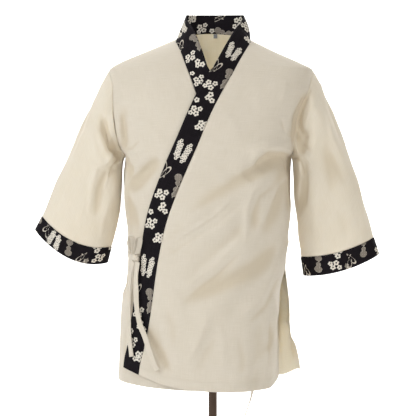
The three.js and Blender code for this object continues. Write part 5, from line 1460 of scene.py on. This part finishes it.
# the size label: a strip of woven tape folded double, held in the collar seam
label = {"x": 6.0, "width": 8.0, "drop": 9.0, "thickness": 0.8, "edgeRound": 0.4, "gap": 2.9}
seamPlace = skin(angleAt(label["x"], 1048.0, False), 1048.0)
v = np.linspace(-1, 1, 17)[None, :] * label["width"] / 2 * np.ones((20, 1))
down = np.linspace(0, 1, 20)[:, None] * label["drop"] * np.ones((1, 17))
curl = 0.25 * np.sin(v / 4 * 1.6) + 0.3 * (down / label["drop"]) ** 2
place = np.stack([label["x"] + v, seamPlace[1] - label["gap"] - curl, seamPlace[2] - 1.0 - down], axis=-1)
edge = np.minimum(label["width"] / 2 - np.abs(v), np.minimum(down, label["drop"] - down))
edge = np.minimum(edge, label["edgeRound"]) / label["edgeRound"]
deep = label["thickness"] / 2 * np.sqrt(np.clip(1 - (1 - edge) ** 2, 0.04, 1))[..., None]
forward = np.array([0.0, -1.0, 0.0])
labelPiece = wallPiece("size_label_tape", place + forward * deep, place - forward * deep,
                       np.stack([v, down], axis=-1), material=labelTape)
print("ties, knot and label made", {name: round(float(length)) for name, length in tieLengths.items()})

# what each piece stands for: each sheet's table is gathered, each piece goes under the root and the CAD node of
# its name is hidden
sheets = {name: panels[name] for name in ("left_front", "right_front", "back")}
for side in ("left", "right"):
    for node, table in (("_band", bands), ("_sleeve", sleeves), ("_cuff", cuffs)):
        sheets[side + node] = table[side]
for name, piece in list(clothPieces.items()) + list(tiePieces.items()) + [("size_label", labelPiece)]:
    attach(piece, "root")
    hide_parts(name)
stitchPiece(creamStitches, "hem_stitches", creamThread)
stitchPiece(blackStitches, "band_stitches", blackThread)

# the stand, modelled as hard pieces, in metres
stand = {
    "poleRadius": 0.0095, "poleLow": 0.0103, "poleHigh": 0.3874, "flangeRadius": 0.020, "flangeLow": 0.3877,
    "baseRadius": 0.150, "baseRim": 0.0035,
    # inwards and upwards, once for each step of the base's top
    "baseSteps": [(0.004, 0.0015), (0.084, 0.0027), (0.002, -0.0004), (0.0015, 0.0006), (0.034, 0.0018),
                  (0.004, 0.0001)],
    # from and to this height the pole is turned down to this share
    "poleRings": [(0.0122, 0.0135, 0.93), (0.0168, 0.0181, 0.93), (0.3838, 0.3874, 0.955)],
    # rise and widening of the flange
    "flangeSteps": [(0.003, 1.6), (0.005, 1.0625)],
}


def startCylinder(name, radius, low, high, sides):
    bpy.ops.object.select_all(action="DESELECT")
    bpy.ops.mesh.primitive_cylinder_add(vertices=sides, radius=radius, depth=high - low,
                                        location=(0, 0, (low + high) / 2))
    made = bpy.context.active_object
    made.name = name
    return made


def selectFaces(made, test):
    bpy.ops.object.mode_set(mode="EDIT")
    bpy.ops.mesh.select_mode(type="FACE")
    bpy.ops.mesh.select_all(action="DESELECT")
    bpy.ops.object.mode_set(mode="OBJECT")
    for face in made.data.polygons:
        face.select = bool(test(face.center + made.location, face.normal))
    bpy.ops.object.mode_set(mode="EDIT")


def finishHard(made, material, node, bevel, segments=3, angle=28):
    bpy.ops.object.select_all(action="DESELECT")
    made.select_set(True)
    bpy.context.view_layer.objects.active = made
    modifier = made.modifiers.new("softEdges", "BEVEL")
    modifier.width = bevel
    modifier.segments = segments
    modifier.limit_method = "ANGLE"
    modifier.angle_limit = math.radians(angle)
    bpy.ops.object.modifier_apply(modifier=modifier.name)
    bpy.ops.object.shade_smooth_by_angle(angle=math.radians(32))
    bpy.ops.object.transform_apply(location=True, rotation=True, scale=True)
    made.data.materials.clear()
    made.data.materials.append(material)
    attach(made, "root")
    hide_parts(node)


# the base: a turned steel disc that rises a little to the pole, and is hollowed below
rim = stand["baseRim"]
base = startCylinder("base_plate_steel", stand["baseRadius"], 0.0, rim, 128)
selectFaces(base, lambda c, n: n.z > 0.9 and abs(c.z - rim) < 1e-4)
for inward, rise in stand["baseSteps"]:
    bpy.ops.mesh.inset(thickness=inward, depth=0.0)
    bpy.ops.transform.translate(value=(0, 0, rise))
bpy.ops.object.mode_set(mode="OBJECT")
selectFaces(base, lambda c, n: n.z < -0.9)
bpy.ops.mesh.inset(thickness=0.012, depth=0.0)
bpy.ops.mesh.inset(thickness=0.002, depth=-0.0012)
bpy.ops.object.mode_set(mode="OBJECT")
finishHard(base, baseSteel, "base_plate", 0.0005)

# the pole: a drawn tube with a locking ring low down and turned ends
pole = startCylinder("pole_tube", stand["poleRadius"], stand["poleLow"], stand["poleHigh"], 64)
bpy.ops.object.mode_set(mode="EDIT")
for height in [h for low, high, share in stand["poleRings"] for h in (low, high) if h < stand["poleHigh"]]:
    bpy.ops.mesh.select_all(action="SELECT")
    bpy.ops.mesh.bisect(plane_co=(0, 0, height), plane_no=(0, 0, 1))
bpy.ops.object.mode_set(mode="OBJECT")
for low, high, share in stand["poleRings"]:
    selectFaces(pole, lambda c, n: low < c.z < high and abs(n.z) < 0.5)
    bpy.ops.transform.resize(value=(share, share, 1), center_override=(0, 0, 0))
    bpy.ops.object.mode_set(mode="OBJECT")
finishHard(pole, poleChrome, "pole", 0.0003)

# the flange: a turned boss screwed under the form
flangeLow = stand["flangeLow"]
flange = startCylinder("torso_flange_steel", stand["flangeRadius"], flangeLow, flangeLow + 0.004, 72)
selectFaces(flange, lambda c, n: n.z > 0.9)
for rise, widening in stand["flangeSteps"]:
    bpy.ops.mesh.extrude_region_move(TRANSFORM_OT_translate={"value": (0, 0, rise)})
    bpy.ops.transform.resize(value=(widening, widening, 1), center_override=(0, 0, 0))
bpy.ops.object.mode_set(mode="OBJECT")
finishHard(flange, poleChrome, "torso_flange", 0.0006)

# the form: the CAD shell, joined up and given soft edges
torso = bpy.data.objects["display_torso"].copy()
torso.data = torso.data.copy()
torso.name = "display_torso_shell"
link(torso)
joined = bmesh.new()
joined.from_mesh(torso.data)
bmesh.ops.remove_doubles(joined, verts=joined.verts, dist=1e-5)
bmesh.ops.join_triangles(joined, faces=joined.faces, angle_face_threshold=0.35, angle_shape_threshold=0.9)
joined.to_mesh(torso.data)
joined.free()
finishHard(torso, torsoShell, "display_torso", 0.0012, 2, 50)
print("stand made")

# floor and light: a floor that curves up into a wall behind; both look white to the camera
studio = {
    "floorHalf": 30.0, "wallY": 4.5, "curve": 1.6, "wallTop": 7.0, "curveSteps": 12,
    "floorGlow": 0.62, "skyTint": (1.0, 0.965, 0.9, 1), "skyLight": 0.27, "skySeen": 1.05,
}
half, curve = studio["floorHalf"], studio["curve"]
bendY = studio["wallY"] - curve
turns = [i / studio["curveSteps"] * math.pi / 2 for i in range(1, studio["curveSteps"] + 1)]
profile = [(-half, 0.0), (bendY, 0.0)]
profile += [(bendY + curve * math.sin(a), curve * (1 - math.cos(a))) for a in turns]
profile.append((studio["wallY"], studio["wallTop"]))
floorMesh = bpy.data.meshes.new("studioFloor")
floorMesh.from_pydata([(x, y, z) for y, z in profile for x in (-half, half)], [],
                      [(2 * i, 2 * i + 1, 2 * i + 3, 2 * i + 2) for i in range(len(profile) - 1)])
shadeSmooth(floorMesh)
floorMaterial, floorTree, floorShader = newMaterial("paleFloor", {
    "Base Color": (0.92, 0.92, 0.92, 1), "Roughness": 0.8, "Emission Color": (1.0, 1.0, 1.0, 1)})
toCamera = addNode(floorTree, "ShaderNodeLightPath").outputs["Is Camera Ray"]
glow = mathNode(floorTree, "MULTIPLY", toCamera, studio["floorGlow"])
feed(floorTree, glow, floorShader.inputs["Emission Strength"])
floorMesh.materials.append(floorMaterial)
link(bpy.data.objects.new("studioFloor", floorMesh))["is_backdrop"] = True

world = bpy.data.worlds.new("studioWorld")
world.use_nodes = True
sky = world.node_tree.nodes["Background"]
sky.inputs[0].default_value = studio["skyTint"]
toCamera = addNode(world.node_tree, "ShaderNodeLightPath").outputs["Is Camera Ray"]
strength = mapRange(world.node_tree, toCamera, 0.0, 1.0, studio["skyLight"], studio["skySeen"])
feed(world.node_tree, strength, sky.inputs[1])
bpy.context.scene.world = world

lights = [  # name, place, aim, size, watts, colour
    ("keyLight", (-3.0, -1.8, 2.3), (0, 0, 0.75), 0.9, 56.0, (0.95, 0.975, 1.0)),
    ("frontLight", (-0.4, -3.4, 1.05), (0, 0, 0.75), 1.0, 20.0, (0.96, 0.98, 1.0)),
    ("fillLight", (2.6, -2.3, 1.3), (0, 0, 0.7), 1.4, 19.0, (1.0, 0.985, 0.95)),
    ("rimLight", (2.4, 2.3, 1.3), (0, 0, 0.6), 1.2, 36.0, (1.0, 1.0, 1.0)),
    ("backLight", (-2.4, 2.3, 1.6), (0, 0, 0.7), 1.2, 20.0, (1.0, 1.0, 1.0)),
    ("topLight", (0.1, -0.9, 3.1), (0, 0, 0.9), 1.2, 9.0, (1.0, 1.0, 1.0)),
    ("backdropLight", (0, 2.2, 3.6), (0, 3.5, 0.4), 3.0, 105.0, (1.0, 1.0, 1.0)),
]
for name, place, aim, size, watts, tint in lights:
    data = bpy.data.lights.new(name, "AREA")
    data.shape = "SQUARE"
    data.size = size
    data.energy = watts
    data.color = tint
    light = bpy.data.objects.new(name, data)
    light.location = place
    light.rotation_euler = (Vector(aim) - Vector(place)).to_track_quat("-Z", "Y").to_euler()
    link(light)
print("floor and light made")

low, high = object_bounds()
